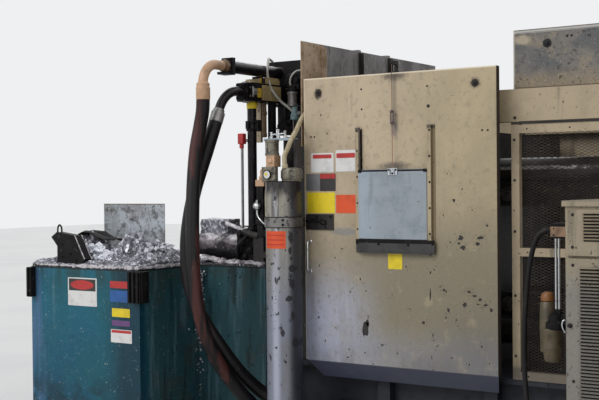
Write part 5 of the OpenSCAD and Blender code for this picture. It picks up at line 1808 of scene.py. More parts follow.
def add_gas_cap():
    """Turned cap with studs around it"""
    cap = ACC_TOP + Vector((0.045, 0.025, 0))
    shape = Shape().lathe(cap, [(0.056, -0.001), (0.060, 0.004), (0.060, 0.014), (0.063, 0.018),
                                (0.063, 0.070), (0.058, 0.080), (0.035, 0.086), (0.020, 0.086)], sides=48)
    for x, y in circle(10, 0.062):
        shape.rod(cap + Vector((x, y, 0.022)), cap + Vector((x, y, 0.066)), 0.004, sides=8)
    shape.piece("gas_cap", "valve_steel", edge=0.0006)


# Route of the pale hose, from the middle of the accumulator's shoulder
PALE_STEPS = [(0.031, -0.025, 0.080), (0.029, -0.028, 0.148), (0.050, -0.025, 0.196),
              (0.074, -0.020, 0.250), (0.070, 0.035, 0.300), (0.052, 0.085, 0.330), (0.040, 0.125, 0.357),
              (0.035, 0.175, 0.400), (0.032, 0.245, 0.438)]


def add_pale_hose():
    """Pale pressure hose from the cap to the track beam, with its crimped ends"""
    path = smooth_path(from_shoulder(*PALE_STEPS))
    shape = Shape().tube(path, 0.0145, 20)
    for at, after in ((path[0], path[2]), (path[-1], path[-3])):
        way = (after - at).normalized()
        shape.lathe(at, [(0.018, 0), (0.018, 0.020), (0.016, 0.024)], way, 24)
    shape.piece("pale_hose_run", "pale_hose", replaces=("accumulator_pipe",))


def add_accumulator_details():
    """Band lines, trim and foot bolts of the accumulator"""
    band_low, band_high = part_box("accumulator_band")
    centre = Vector((ACC_X, ACC_Y, 0))
    shape = Shape()
    for z in (band_low.z - 0.004, band_high.z + 0.001):
        shape.lathe(centre + UP * z, [(ACC_R, 0), (ACC_R + 0.005, 0.0005), (ACC_R + 0.005, 0.0035),
                                      (ACC_R, 0.004)], sides=96)
    for z in (band_low.z + 0.014, band_high.z - 0.014):
        shape.bolt((ACC_X + 0.065, ACC_Y - 0.105, z), (0.5, -0.86, 0), 0.010)
    shape.piece("band_lines", "black_grease")
    shape = Shape()
    shape.lathe(centre + UP * (ACC_HIGH.z - 0.002), [(ACC_R, 0), (ACC_R - 0.004, 0.006), (0.05, 0.008)],
                sides=72)
    for x, y in circle(8, 0.127, 20):
        shape.bolt(centre + Vector((x, y, 0.020)), UP, 0.014)
    shape.piece("accumulator_trim", "black_grease")


def add_curved_plate(name, finish, low, high, first, last, out):
    """A thin plate that follows the accumulator's side between two angles in degrees"""
    shape = Shape()
    steps = 14
    rows = []
    for i in range(steps + 1):
        angle = math.radians(first + (last - first) * i / steps)
        rows.append([shape.bm.verts.new((ACC_X + r * math.cos(angle), ACC_Y + r * math.sin(angle), z))
                     for r, z in ((ACC_R, low), (ACC_R + out, low), (ACC_R + out, high), (ACC_R, high))])
    shape.skin(rows, ends=False)
    shape.bm.faces.new(rows[0])
    shape.bm.faces.new(list(reversed(rows[-1])))
    shape.piece(name, "accumulator_paint", finish)


# Middle of the line fittings between the accumulator and the posts
LINE_X = -0.250
LINE_Y = -1.06


def add_line_valve():
    """Upright valve with its side arms, and a beige block on it"""
    shape = Shape()
    shape.box((LINE_X - 0.022, LINE_Y - 0.022, 1.250), (LINE_X + 0.022, LINE_Y + 0.022, 1.560))
    shape.box((LINE_X - 0.03, LINE_Y - 0.03, 1.330), (LINE_X + 0.03, LINE_Y + 0.03, 1.392))
    for low, high in ((1.345, 1.380), (1.255, 1.300)):
        shape.box((LINE_X + 0.02, LINE_Y - 0.02, low), (ACC_X - 0.09, LINE_Y + 0.02, high))
    shape.piece("line_valve", "black_grease", edge=0.002)
    shape = Shape()
    shape.box((LINE_X - 0.03, LINE_Y - 0.028, 1.560), (LINE_X + 0.034, LINE_Y + 0.028, 1.600))
    shape.lathe((LINE_X, LINE_Y, 1.600),
                [(0.016, 0), (0.020, 0.004), (0.020, 0.018), (0.012, 0.024), (0.012, 0.06)], sides=6)
    shape.piece("line_block", "pale_hose", ELBOW_PAINT, edge=0.002)


def add_ball_tap():
    """Chrome ball tap with a thin tube to the accumulator"""
    x = LINE_X - 0.012
    y = LINE_Y - 0.034
    z = 1.440
    shape = Shape()
    shape.ball((x, y, z), 0.026)
    shape.rod((x, LINE_Y - 0.01, z), (x, LINE_Y - 0.03, z), 0.013, sides=20)
    shape.tube(smooth_path([(x, y, 1.425), (LINE_X - 0.010, y, 1.385),
                            (LINE_X + 0.02, LINE_Y - 0.036, 1.350),
                            (LINE_X + 0.05, LINE_Y - 0.03, 1.330),
                            (ACC_X - 0.08, LINE_Y - 0.03, 1.325)]), 0.007, 14)
    shape.rod((x, y, 1.46), (x, y, 1.478), 0.009, sides=16)
    shape.piece("ball_tap", "chrome")


def add_pale_line():
    """Thin pale tube down the accumulator's side"""
    shape = Shape()
    shape.tube(smooth_path([(ACC_X - 0.092, ACC_Y - 0.045, 1.560), (ACC_X - 0.094, ACC_Y - 0.048, 1.50),
                            (ACC_X - 0.094, ACC_Y - 0.048, 1.42), (ACC_X - 0.094, ACC_Y - 0.046, 1.365)]),
               0.006, 12)
    shape.rod((ACC_X - 0.092, ACC_Y - 0.045, 1.56), (ACC_X - 0.075, ACC_Y - 0.040, 1.588), 0.006, sides=12)
    shape.rod((ACC_X - 0.094, ACC_Y - 0.046, 1.36), (ACC_X - 0.075, ACC_Y - 0.04, 1.36), 0.006, sides=12)
    shape.piece("pale_line", "pale_hose")


def add_line_manifold():
    """Manifold below the valve, with its nuts and side pipes"""
    shape = Shape()
    for z, size in ((1.30, 0.020), (1.235, 0.024), (1.165, 0.022)):
        shape.lathe((LINE_X - 0.02, LINE_Y + 0.01, z - 0.02),
                    [(size * 0.7, 0), (size, 0.005), (size, 0.03), (size * 0.7, 0.036)], sides=6)
    shape.box((LINE_X - 0.055, LINE_Y - 0.02, 1.105), (LINE_X + 0.02, LINE_Y + 0.03, 1.25))
    shape.rod((LINE_X - 0.14, LINE_Y - 0.01, 1.285), (LINE_X - 0.02, LINE_Y - 0.01, 1.255),
              0.016, 0.020, 20)
    shape.box((LINE_X + 0.02, LINE_Y - 0.02, 1.13), (ACC_X - 0.09, LINE_Y + 0.02, 1.165))
    shape.piece("line_manifold", "dark_steel", edge=0.0015)


add_upper_pipe()
add_lower_pipe()
add_head_details()
add_post_details()
add_crusted_bars()
add_yoke_details()
add_pot_crust()
add_accumulator_head()
add_pale_hose()
add_accumulator_details()
add_curved_plate("accumulator_plate", ORANGE_PLATE, 1.194, 1.296, 234, 310, 0.0012)
for z in (1.214, 1.242, 1.270):
    add_curved_plate(f"plate_stripe_{int(z * 1000)}", RED_PLATE, z, z + 0.006, 240, 304, 0.0018)
add_line_valve()
add_ball_tap()
add_pale_line()
add_line_manifold()


# Furnace: dross, lid leaf, lugs, blank plates and spilt metal
WELL_LOW, WELL_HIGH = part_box("charging_well")
TOP_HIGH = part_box("furnace_top")[1]
PANEL_LOW, PANEL_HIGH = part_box("splash_panel")
BODY_LOW, BODY_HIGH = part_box("furnace_body")
LEAF_LOW, LEAF_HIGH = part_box("lid_plate")

# Heaps of dross: place along X and Y, height, and spread along X and Y
HEAPS = [(-1.660, -1.120, 0.150, 0.080, 0.09), (-1.560, -1.140, 0.145, 0.080, 0.08),
         (-1.310, -1.050, 0.165, 0.052, 0.10), (-1.240, -1.010, 0.110, 0.070, 0.11),
         (-1.350, -1.130, 0.080, 0.070, 0.08), (-1.100, -1.060, 0.075, 0.090, 0.10),
         (-1.010, -1.130, 0.035, 0.070, 0.12), (-1.200, -0.930, 0.095, 0.150, 0.06),
         (-1.480, -0.930, 0.060, 0.120, 0.07)]


def heap_height(x, y):
    """Height of the dross above the furnace top: crumpled heaps over a thin crust"""
    wide = Vector((x * 10, y * 10, 0.3))
    fine = Vector((x * 31, y * 31, 1.7))
    ridge = 1 - abs(noise.fractal(wide, 0.9, 2.2, 3)) * 1.7
    small = 1 - abs(noise.fractal(fine, 1.0, 2.0, 2)) * 1.5
    tall = 0.0
    for cx, cy, height, sx, sy in HEAPS:
        far = ((x - cx) / sx) ** 2 + ((y - cy) / sy) ** 2
        tall = max(tall, height * math.exp(-0.5 * far))
    edge = min(1.0, (y - WELL_LOW.y) / 0.05, (WELL_HIGH.x - x) / 0.05)
    crust = (0.012 + 0.012 * small + 0.006 * ridge) * max(0.25, edge)
    return max(0.003, crust + tall * (0.60 + 0.42 * ridge + 0.22 * small))


def add_dross():
    """Dross field over the charging well: a faceted surface with a skirt down to the furnace top"""
    low = Vector((WELL_LOW.x + 0.006, WELL_LOW.y + 0.006))
    high = Vector((WELL_HIGH.x - 0.006, BODY_LOW.y))
    columns = 118
    rows = 72
    shape = Shape()
    grid = []
    for j in range(rows + 1):
        row = []
        for i in range(columns + 1):
            x = low.x + (high.x - low.x) * i / columns
            y = low.y + (high.y - low.y) * j / rows
            row.append(shape.bm.verts.new((x, y, TOP_HIGH.z + heap_height(x, y))))
        grid.append(row)
    for j, (a, b) in enumerate(zip(grid, grid[1:])):
        for i in range(columns):
            if (i + j) % 2:
                shape.bm.faces.new((a[i], a[i + 1], b[i + 1]))
                shape.bm.faces.new((a[i], b[i + 1], b[i]))
            else:
                shape.bm.faces.new((a[i], a[i + 1], b[i]))
                shape.bm.faces.new((a[i + 1], b[i + 1], b[i]))
    right = [row[-1] for row in grid[1:]]
    left = [row[0] for row in reversed(grid[1:-1])]
    rim = grid[0] + right + list(reversed(grid[-1][:-1])) + left
    skirt = [shape.bm.verts.new((v.co.x, v.co.y, TOP_HIGH.z - 0.002)) for v in rim]
    count = len(rim)
    for k in range(count):
        shape.bm.faces.new((rim[k], rim[(k + 1) % count], skirt[(k + 1) % count], skirt[k]))
    shape.piece("dross_field", "dross", DROSS_CRUST, smooth=False, replaces=("dross_heap",))


def add_flakes(name, places, finish):
    """Crumpled flakes of metal: small folded sheets, each with its place, its size and the way it faces"""
    rng = random.Random(7)
    shape = Shape()
    for place, size, face in places:
        turn = UP.rotation_difference(face).to_matrix() @ Matrix.Rotation(rng.uniform(0, 6.28), 3, "Z")
        fold = rng.uniform(-0.35, 0.35)
        verts = []
        for j in range(2):
            for i in range(3):
                local = Vector(((i - 1) * size * rng.uniform(0.45, 0.75),
                                (j - 0.5) * size * rng.uniform(0.5, 1.1),
                                size * (fold if i == 1 else rng.uniform(-0.12, 0.12))))
                verts.append(shape.bm.verts.new(Vector(place) + turn @ local))
        shape.bm.faces.new((verts[0], verts[1], verts[4], verts[3]))
        shape.bm.faces.new((verts[1], verts[2], verts[5], verts[4]))
    shape.piece(name, "dross", finish, smooth=False)


def add_heap_flakes():
    """Flakes over the dross, and bright foil in front of its left heap"""
    rng = random.Random(3)
    places = []
    while len(places) < 380:
        x = rng.uniform(WELL_LOW.x + 0.05, WELL_HIGH.x - 0.03)
        y = rng.uniform(WELL_LOW.y + 0.03, BODY_LOW.y - 0.03)
        beside_leaf = LEAF_LOW.x - 0.03 < x < LEAF_HIGH.x + 0.02
        under_leaf = beside_leaf and LEAF_LOW.y - 0.05 < y < LEAF_HIGH.y + 0.02
        height = heap_height(x, y)
        if under_leaf or height < rng.uniform(0.015, 0.13):
            continue
        face = Vector((rng.uniform(-1, 1), rng.uniform(-1.4, 0.2), rng.uniform(0.0, 0.9))).normalized()
        places.append(((x, y, TOP_HIGH.z + height), rng.uniform(0.010, 0.042), face))
    add_flakes("dross_flakes", places, None)
    places = []
    for _ in range(90):
        x = rng.uniform(-1.475, -1.285)
        rise = rng.uniform(0.01, 0.135) * (1 - 0.5 * (x + 1.475) / 0.19)
        face = Vector((rng.uniform(-0.2, 1), rng.uniform(-1.6, -0.6), rng.uniform(0.1, 1.0))).normalized()
        places.append(((x, rng.uniform(-1.30, -1.20), TOP_HIGH.z + rise), rng.uniform(0.016, 0.042), face))
    add_flakes("bright_foil", places, FOIL_BRIGHT)


def add_folded_sheet():
    """A dark folded sheet lying over the foil heap"""
    points = [(-1.700, 1.192), (-1.668, 1.246), (-1.628, 1.272), (-1.570, 1.262), (-1.500, 1.236),
              (-1.425, 1.214)]
    rng = random.Random(5)
    rows = []
    shape = Shape()
    for j in range(6):
        y = -1.185 + 0.030 * j
        row = []
        for i, (x, z) in enumerate(points):
            lift = z + rng.uniform(-0.006, 0.006) - (0.020 if j == 5 else 0.0)
            row.append([shape.bm.verts.new((x + 0.3 * (y + 1.18) + rng.uniform(-0.006, 0.006), y, lift + up))
                        for up in (0, 0.005)])
        rows.append(row)
    for a, b in zip(rows, rows[1:]):
        for i in range(len(points) - 1):
            for level in (0, 1):
                shape.bm.faces.new((a[i][level], a[i + 1][level], b[i + 1][level], b[i][level]))
        for end in (0, -1):
            shape.bm.faces.new((a[end][0], a[end][1], b[end][1], b[end][0]))
    for row in (rows[0], rows[-1]):
        for i in range(len(points) - 1):
            shape.bm.faces.new((row[i][0], row[i + 1][0], row[i + 1][1], row[i][1]))
    shape.piece("folded_sheet", "black_grease", smooth=False)


def add_leaf_details():
    """Pale edge of painted highlight, loop handle and bolts of the lid leaf"""
    face = LEAF_LOW.y
    shape = Shape()
    x = LEAF_LOW.x + 0.038
    top = LEAF_HIGH.z
    shape.tube(smooth_path([(x, face + 0.02, top - 0.02), (x + 0.004, face + 0.02, top + 0.030),
                            (x + 0.020, face + 0.02, top + 0.046), (x + 0.036, face + 0.02, top + 0.028),
                            (x + 0.038, face + 0.02, top - 0.02)]), 0.0055, 12)
    for px, pz in ((0.10, 0.13), (0.17, 0.07), (0.10, 0.05), (0.22, 0.03)):
        shape.bolt((LEAF_LOW.x + px, face, LEAF_LOW.z + pz), OUT, 0.010)
    shape.piece("leaf_handle", "black_grease", edge=0.0004)
    # Pale tubes along the leaf's edges: a painted highlight
    shape = Shape()
    right = LEAF_HIGH.x
    for y in (face - 0.001, face + 0.059):
        shape.tube([(right - 0.087, y, top - 0.018), (right - 0.002, y, LEAF_LOW.z + 0.040)], 0.0035, 8)
    shape.piece("leaf_edge", "splashed_steel", ASH_CRUST)


def add_lug_ribs():
    """Black lugs at the well's corners, with grooves between upright ribs"""
    low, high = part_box("furnace_lugs")
    corner = WELL_HIGH.x
    shape = Shape()
    shape.box(low, (low.x + 0.04, WELL_LOW.y, high.z))
    shape.box((corner - 0.052, low.y, low.z), (high.x, WELL_LOW.y, high.z))
    shape.box((corner, WELL_LOW.y, low.z), (high.x, high.y, high.z))
    shape.piece("lug_blocks", "black_grease", edge=0.002, replaces=("furnace_lugs",))
    shape = Shape()
    for x in (corner - 0.048, corner - 0.014, corner + 0.020):
        shape.box((x, low.y - 0.012, low.z + 0.004), (x + 0.016, low.y, high.z - 0.004))
    shape.box((WELL_LOW.x + 0.008, low.y - 0.010, low.z + 0.004), (WELL_LOW.x + 0.022, low.y, high.z - 0.004))
    shape.box((high.x, low.y + 0.010, low.z + 0.004), (high.x + 0.008, low.y + 0.026, high.z - 0.004))
    shape.piece("lug_ribs", "black_grease", edge=0.002)


# Blank plates on the well: name, finish, and the lower left and upper right corners along X and Z
WELL_PLATES = [("well_sign", WHITE_PLATE, (-1.546, 0.808), (-1.295, 0.988)),
               ("well_sign_band", BLACK_PLATE, (-1.536, 0.905), (-1.305, 0.980)),
               ("well_orange", RED_PLATE, (-1.182, 0.934), (-1.012, 0.977)),
               ("well_blue", BLUE_PLATE, (-1.183, 0.847), (-1.013, 0.920)),
               ("well_yellow", YELLOW_PLATE, (-1.167, 0.754), (-1.019, 0.808)),
               ("well_purple", PURPLE_PLATE, (-1.169, 0.698), (-1.019, 0.733)),
               ("well_white", WHITE_PLATE, (-1.178, 0.594), (-1.005, 0.676)),
               ("well_red_band", RED_PLATE, (-1.172, 0.655), (-1.011, 0.672))]


def add_well_plates():
    """Blank plates on the well, with an oval on the largest"""
    add_plates(WELL_PLATES, WELL_LOW.y, "machine")
    middle = Vector((-1.4205, WELL_LOW.y - PLATE_T * 1.8, 0.9425))
    flat = 0.30
    shape = Shape().lathe(middle, [(0.100, 0), (0.100, 0.0008)], OUT, 48)
    oval = shape.piece("well_oval", "furnace_paint", RED_PLATE)
    for vertex in oval.data.vertices:
        vertex.co.z = middle.z + (vertex.co.z - middle.z) * flat


def add_spilt_metal():
    """Splashes frozen on the inner corner between the well and the body, and a thin crust on the rim"""
    rng = random.Random(11)
    corner = Vector((WELL_HIGH.x, BODY_LOW.y, 0))
    places = []
    for _ in range(230):
        z = WELL_HIGH.z - 0.02 - abs(rng.gauss(0, 0.30))
        if z < 0.12:
            continue
        if rng.random() < 0.7:
            at = (corner.x + abs(rng.gauss(0, 0.022)) + 0.003, corner.y - 0.003, z)
            face = OUT
        else:
            at = (corner.x + 0.003, corner.y - abs(rng.gauss(0, 0.03)) - 0.004, z)
            face = ACROSS
        places.append((at, rng.uniform(0.004, 0.014), face))
    add_flakes("spilt_metal", places, None)
    shape = Shape()
    for _ in range(120):
        x = rng.uniform(WELL_LOW.x + 0.03, WELL_HIGH.x - 0.01)
        at = Vector((x, WELL_LOW.y + 0.004, WELL_HIGH.z + 0.012))
        tall = rng.uniform(0.4, 1.0) * (1.3 if x > -1.5 else 0.6)
        shape.ball(at, rng.uniform(0.008, 0.014), (rng.uniform(0.9, 2.4), 0.8, tall), sides=8)
    for _ in range(60):
        y = rng.uniform(WELL_LOW.y + 0.02, BODY_LOW.y - 0.02)
        shape.ball(Vector((WELL_HIGH.x - 0.004, y, WELL_HIGH.z + 0.012)), rng.uniform(0.008, 0.014),
                   (0.8, rng.uniform(0.9, 2.2), rng.uniform(0.5, 1.1)), sides=8)
    shape.piece("rim_splashes", "dross", ASH_CRUST)


def add_body_splashes():
    """Splashes on the furnace top, and bolts and plates on the furnace body"""
    rng = random.Random(17)
    places = []
    for _ in range(150):
        x = rng.uniform(BODY_LOW.x + 0.1, BODY_HIGH.x - 0.05)
        y = rng.uniform(BODY_LOW.y + 0.05, BODY_HIGH.y - 0.1)
        if PANEL_LOW.x - 0.02 < x < PANEL_HIGH.x + 0.02 and y < PANEL_HIGH.y + 0.03:
            continue
        places.append(((x, y, TOP_HIGH.z + 0.004), rng.uniform(0.012, 0.04),
                       Vector((rng.uniform(-0.5, 0.5), rng.uniform(-0.5, 0.5), 1)).normalized()))
    add_flakes("body_splashes", places, None)
    shape = Shape()
    for x in (BODY_LOW.x + 0.08, BODY_HIGH.x - 0.08):
        for y in (BODY_LOW.y + 0.08, 0.0, BODY_HIGH.y - 0.08):
            shape.bolt((x, y, TOP_HIGH.z), UP, 0.024)
    for x in (-1.70, -1.35, -1.00, -0.65):
        for z in (0.96, 0.20):
            shape.bolt((x, BODY_HIGH.y, z), BACK, 0.020)
    for y in (-0.6, -0.2, 0.2, 0.6):
        for z in (0.96, 0.20):
            shape.bolt((BODY_LOW.x, y, z), LEFT, 0.020)
    for y in (0.15, 0.45):
        shape.box((BODY_LOW.x - 0.012, y, 0.34), (BODY_LOW.x, y + 0.22, 0.66))
    shape.piece("body_bolts", "black_grease", edge=0.001)


add_dross()
add_heap_flakes()
add_folded_sheet()
add_leaf_details()
add_lug_ribs()
add_well_plates()
add_spilt_metal()
add_body_splashes()


# Bed, platens, clamp end, rear panel and furnace sides: bolts, slots, seams and feet
def bolt_row(shape, first, last, count, way, size=0.014):
    """Bolts evenly spaced between two places"""
    first = Vector(first)
    last = Vector(last)
    for i in range(count):
        shape.bolt(first.lerp(last, i / max(count - 1, 1)), way, size)


def add_bed_details():
    """Bolts along the deck and the bed, with levelling feet beside it"""
    low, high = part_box("bed_frame")
    deck_low, deck_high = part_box("bed_deck")
    shape = Shape()
    for s in (-1, 1):
        edge = s * deck_high.y
        middle = (deck_low.z + deck_high.z) / 2
        bolt_row(shape, (0.10, edge, middle), (high.x - 0.10, edge, middle), 12, (0, s, 0), 0.010)
        bolt_row(shape, (0.16, s * 0.79, deck_high.z), (high.x - 0.06, s * 0.79, deck_high.z), 9, UP, 0.012)
    for y in (-0.55, -0.18, 0.18, 0.55):
        for z in (0.10, 0.36):
            shape.bolt((high.x, y, z), ACROSS, 0.018)
            shape.bolt((low.x, y, z), -ACROSS, 0.018)
    shape.piece("bed_bolts", "dark_steel", edge=0.0008)
    shape = Shape()
    for s, places in ((-1, (0.55, 1.05, 1.62)), (1, (0.15, 0.75, 1.35, 1.95, 2.55, 3.05))):
        y = s * 0.765
        y_low, y_high = sorted((s * 0.715, s * 0.800))
        for x in places:
            shape.box((x - 0.055, y_low, 0.018), (x + 0.055, y_high, 0.036))
            shape.lathe((x, y, 0), [(0.045, 0), (0.045, 0.010), (0.030, 0.018)], sides=32)
            shape.rod((x, y, 0.012), (x, y, 0.090), 0.011, sides=16)
            shape.bolt((x, y, 0.036), UP, 0.024)
    shape.piece("bed_feet", "dark_steel", edge=0.001)


def add_platen_details():
    """Clamping slots on the die faces, bolts on the outer faces and lock plates on the tie bar nuts"""
    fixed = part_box("fixed_platen")
    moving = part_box("moving_platen")
    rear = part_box("rear_platen")
    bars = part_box("tie_bars")
    centre = (bars[0].z + bars[1].z) / 2
    slots = Shape()
    bolts = Shape()
    for face, way in ((fixed[1].x, 1), (moving[0].x, -1)):
        x_low, x_high = sorted((face, face + way * 0.001))
        for z in (-0.36, -0.24, 0.24, 0.36):
            slots.box((x_low, -0.30, centre + z - 0.011), (x_high, 0.30, centre + z + 0.011))
        for y in (-0.60, 0.60):
            for z in (-0.12, 0.0, 0.12):
                slots.lathe((face, y, centre + z), [(0.018, 0), (0.018, 0.0012)], (way, 0, 0), 24)
    for x, way in ((rear[1].x, 1), (fixed[0].x, -1)):
        for y in (-0.66, 0.66):
            bolt_row(bolts, (x, y, centre - 0.22), (x, y, centre + 0.22), 4, (way, 0, 0), 0.022)
    for y in (-0.47, 0.47):
        for z in (centre - 0.47, centre + 0.47):
            for x, way in ((bars[0].x, -1), (bars[1].x, 1)):
                bolts.lathe((x, y, z), [(0.088, 0), (0.088, 0.008), (0.060, 0.010), (0.060, 0.016),
                                        (0.020, 0.016)], (way, 0, 0), 48)
                for bolt_y, bolt_z in circle(6, 0.074):
                    bolts.bolt((x + way * 0.008, y + bolt_y, z + bolt_z), (way, 0, 0), 0.011)
    for s in (-1, 1):
        for box in (moving, rear, fixed):
            x = (box[0].x + box[1].x) / 2
            bolt_row(bolts, (x, s * box[1].y, box[0].z + 0.05), (x, s * box[1].y, box[0].z + 0.20), 2,
                     (0, s, 0), 0.020)
            bolts.lathe((x, s * 0.30, box[1].z), [(0.022, 0), (0.022, 0.012), (0.012, 0.016)], sides=24)
            ring = [(x + 0.030 * math.sin(math.radians(a)), s * 0.30,
                     box[1].z + 0.036 - 0.030 * math.cos(math.radians(a))) for a in range(0, 361, 20)]
            bolts.tube(ring, 0.008, 10)
    slots.piece("platen_slots", "cast_platen", BLACK_GREASE, smooth=False)
    bolts.piece("platen_bolts", "bright_steel", edge=0.0008)


def add_clamp_details():
    """Pin caps of the toggle and the ring bolts, tie rods and ports of the clamp cylinder"""
    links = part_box("toggle_links")
    low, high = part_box("clamp_cylinder")
    z = (low.z + high.z) / 2
    radius = (high.z - low.z) / 2
    shape = Shape()
    for x in (links[0].x + 0.06, (links[0].x + links[1].x) / 2, links[1].x - 0.06):
        for height in (links[0].z + 0.07, links[1].z - 0.07):
            for s in (-1, 1):
                shape.lathe((x, s * links[1].y, height), [(0.045, 0), (0.045, 0.010), (0.030, 0.014)],
                            (0, s, 0), 32)
                shape.bolt((x, s * (links[1].y + 0.012), height), (0, s, 0), 0.016)
    for bolt, rod in zip(circle(8, 0.82 * radius, 22.5), circle(8, 0.93 * radius, 22.5)):
        shape.bolt((high.x, bolt[0], z + bolt[1]), ACROSS, 0.018)
        shape.rod((low.x + 0.02, rod[0], z + rod[1]), (high.x - 0.01, rod[0], z + rod[1]), 0.010, sides=12)
    for x in (low.x + 0.09, high.x - 0.07):
        shape.lathe((x, 0, z + radius - 0.03), [(0.032, 0), (0.032, 0.045), (0.022, 0.047), (0.022, 0.070),
                                                (0.014, 0.072)], sides=6)
    shape.piece("clamp_bolts", "bright_steel", edge=0.0008)


def add_panel_details():
    """Rear panel, end guard and rear guard: bolts, seam, straps, handles and hinges"""
    low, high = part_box("rear_panel")
    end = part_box("end_guard")
    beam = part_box("rear_beam")
    shape = Shape()
    for x in (low.x + 0.03, (low.x + high.x) / 2, high.x - 0.03):
        bolt_row(shape, (x, high.y, low.z + 0.05), (x, high.y, high.z - 0.05), 6, -OUT, 0.010)
    for z in (end[0].z + 0.05, end[1].z - 0.05):
        bolt_row(shape, (end[1].x, end[0].y + 0.06, z), (end[1].x, end[1].y - 0.06, z), 5, ACROSS, 0.012)
    for y in (end[0].y + 0.04, end[1].y - 0.04):
        bolt_row(shape, (end[1].x, y, end[0].z + 0.30), (end[1].x, y, end[1].z - 0.30), 4, ACROSS, 0.012)
    bolt_row(shape, (1.30, beam[1].y, beam[0].z + 0.02), (2.85, beam[1].y, beam[0].z + 0.02), 5, -OUT, 0.012)
    for z in POST_BOLTS_Z:
        for x in POST_BOLTS_X:
            shape.bolt((x, GUARD_Y, z), -OUT, 0.010)
    shape.piece("panel_bolts", "beige_paint", DARK_STEEL, edge=0.0005)
    shape = Shape()
    x = (low.x + high.x) / 2 - 0.004
    shape.box((x - 0.030, high.y, low.z + 0.02), (x + 0.030, high.y + 0.003, high.z - 0.02))
    for z in (low.z + 0.55, low.z + 1.12):
        shape.box((low.x + 0.06, high.y, z - 0.012), (high.x - 0.06, high.y + 0.006, z + 0.012))
    for s in (-1, 1):
        x = (low.x + high.x) / 2 + s * 0.09
        shape.tube([(x, high.y, 1.36), (x, high.y + 0.035, 1.37), (x, high.y + 0.040, 1.40),
                    (x, high.y + 0.040, 1.50), (x, high.y + 0.035, 1.53), (x, high.y, 1.54)], 0.007, 12)
    shape.piece("panel_straps", "beige_paint", edge=0.001)
    shape = Shape()
    for z in (0.86, 1.28, 1.70):
        shape.rod((end[1].x + 0.008, end[0].y + 0.02, z - 0.05),
                  (end[1].x + 0.008, end[0].y + 0.02, z + 0.05), 0.010, sides=16)
        shape.box((end[1].x, end[0].y + 0.02, z - 0.045), (end[1].x + 0.004, end[0].y + 0.10, z + 0.045))
    shape.piece("guard_hinges", "beige_paint", DARK_STEEL, edge=0.0008)


def add_furnace_sides():
    """Bolted cover plates, drain plug and lifting eyes at the furnace's rear and left sides"""
    low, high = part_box("furnace_body")
    shape = Shape()
    for s in (0.15, 0.62, 1.05):
        x = low.x + s
        shape.box((x, high.y, 0.30), (x + 0.30, high.y + 0.006, 0.80))
        for z in (0.33, 0.77):
            bolt_row(shape, (x + 0.03, high.y + 0.006, z), (x + 0.27, high.y + 0.006, z), 3, -OUT, 0.012)
    shape.piece("furnace_covers", "furnace_paint", edge=0.0015)
    shape = Shape()
    for x in (low.x + 0.10, high.x - 0.10):
        shape.box((x - 0.040, high.y, 0.93), (x + 0.040, high.y + 0.012, 1.02))
        ring = [(x + 0.026 * math.cos(math.radians(a)), high.y + 0.020,
                 0.985 + 0.026 * math.sin(math.radians(a))) for a in range(0, 361, 20)]
        shape.tube(ring, 0.008, 10)
    shape.lathe((low.x + 0.5, high.y, 0.16), [(0.040, 0), (0.040, 0.012), (0.026, 0.014), (0.026, 0.040)],
                BACK, 6)
    shape.piece("furnace_eyes", "black_grease", edge=0.001)


add_bed_details()
add_platen_details()
add_clamp_details()
add_panel_details()
add_furnace_sides()


# Cabinet: louvres, latch and bolts, junction box and filter
CABINET_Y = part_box("cabinet_doors")[0].y
JUNCTION_LOW, JUNCTION_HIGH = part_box("junction_box")
FILTER_LOW, FILTER_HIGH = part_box("filter_unit")
LOUVRE_RIGHT = 2.775
BLADE_OUT = 0.011
# Rows of louvres: left end, top, number and pitch
LOUVRES = [(2.026, 1.436, 9, 0.0142), (2.010, 1.198, 60, 0.0149)]


def add_louvres():
    """Tilted blades over a black plate of painted shade in the cabinet's doors"""
    slots = Shape()
    blades = Shape()
    for left, top, count, pitch in LOUVRES:
        # Black plate of painted shade behind the blades
        slots.box((left + 0.004, CABINET_Y - 0.0008, top - count * pitch),
                  (LOUVRE_RIGHT - 0.004, CABINET_Y + 0.001, top))
        for i in range(count):
            z = top - pitch * i
            profile = ((CABINET_Y + 0.001, z + 0.0005), (CABINET_Y - BLADE_OUT, z - pitch * 0.40),
                       (CABINET_Y - BLADE_OUT + 0.001, z - pitch * 0.50),
                       (CABINET_Y + 0.001, z - pitch * 0.10))
            blades.prism(*[[(x, y, height) for y, height in profile] for x in (left, LOUVRE_RIGHT)])
    slots.piece("louvre_slots", "cabinet_paint", BLACK_GREASE, smooth=False)
    blades.piece("louvre_blades", "cabinet_paint", smooth=False)


def add_cabinet_bolts():
    """Bolts, latch and hook of the cabinet"""
    shape = Shape()
    for x, z in ((1.981, 1.424), (1.980, 1.283), (1.981, 1.205), (1.981, 0.70), (1.981, 0.16)):
        shape.bolt((x, CABINET_Y, z), OUT, 0.009)
    shape.lathe((1.968, CABINET_Y, 0.942), [(0.011, 0), (0.011, 0.003), (0.007, 0.005), (0.008, 0.016),
                                            (0.005, 0.019)], OUT, 28)
    low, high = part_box("cabinet_body")
    for z in (0.50, 1.10):
        for y in (low.y + 0.04, high.y - 0.04):
            shape.bolt((low.x, y, z), LEFT, 0.010)
            shape.bolt((high.x, y, z), ACROSS, 0.010)
    shape.piece("cabinet_bolts", "dark_steel", edge=0.0005)
    shape = Shape()
    hook = [(1.946, CABINET_Y, 0.962), (1.946, CABINET_Y - 0.012, 0.966), (1.938, CABINET_Y - 0.016, 0.956),
            (1.938, CABINET_Y - 0.016, 0.934), (1.946, CABINET_Y - 0.010, 0.914), (1.950, CABINET_Y, 0.910)]
    shape.tube(smooth_path(hook, 5), 0.003, 12)
    shape.piece("cabinet_hook", "chrome")


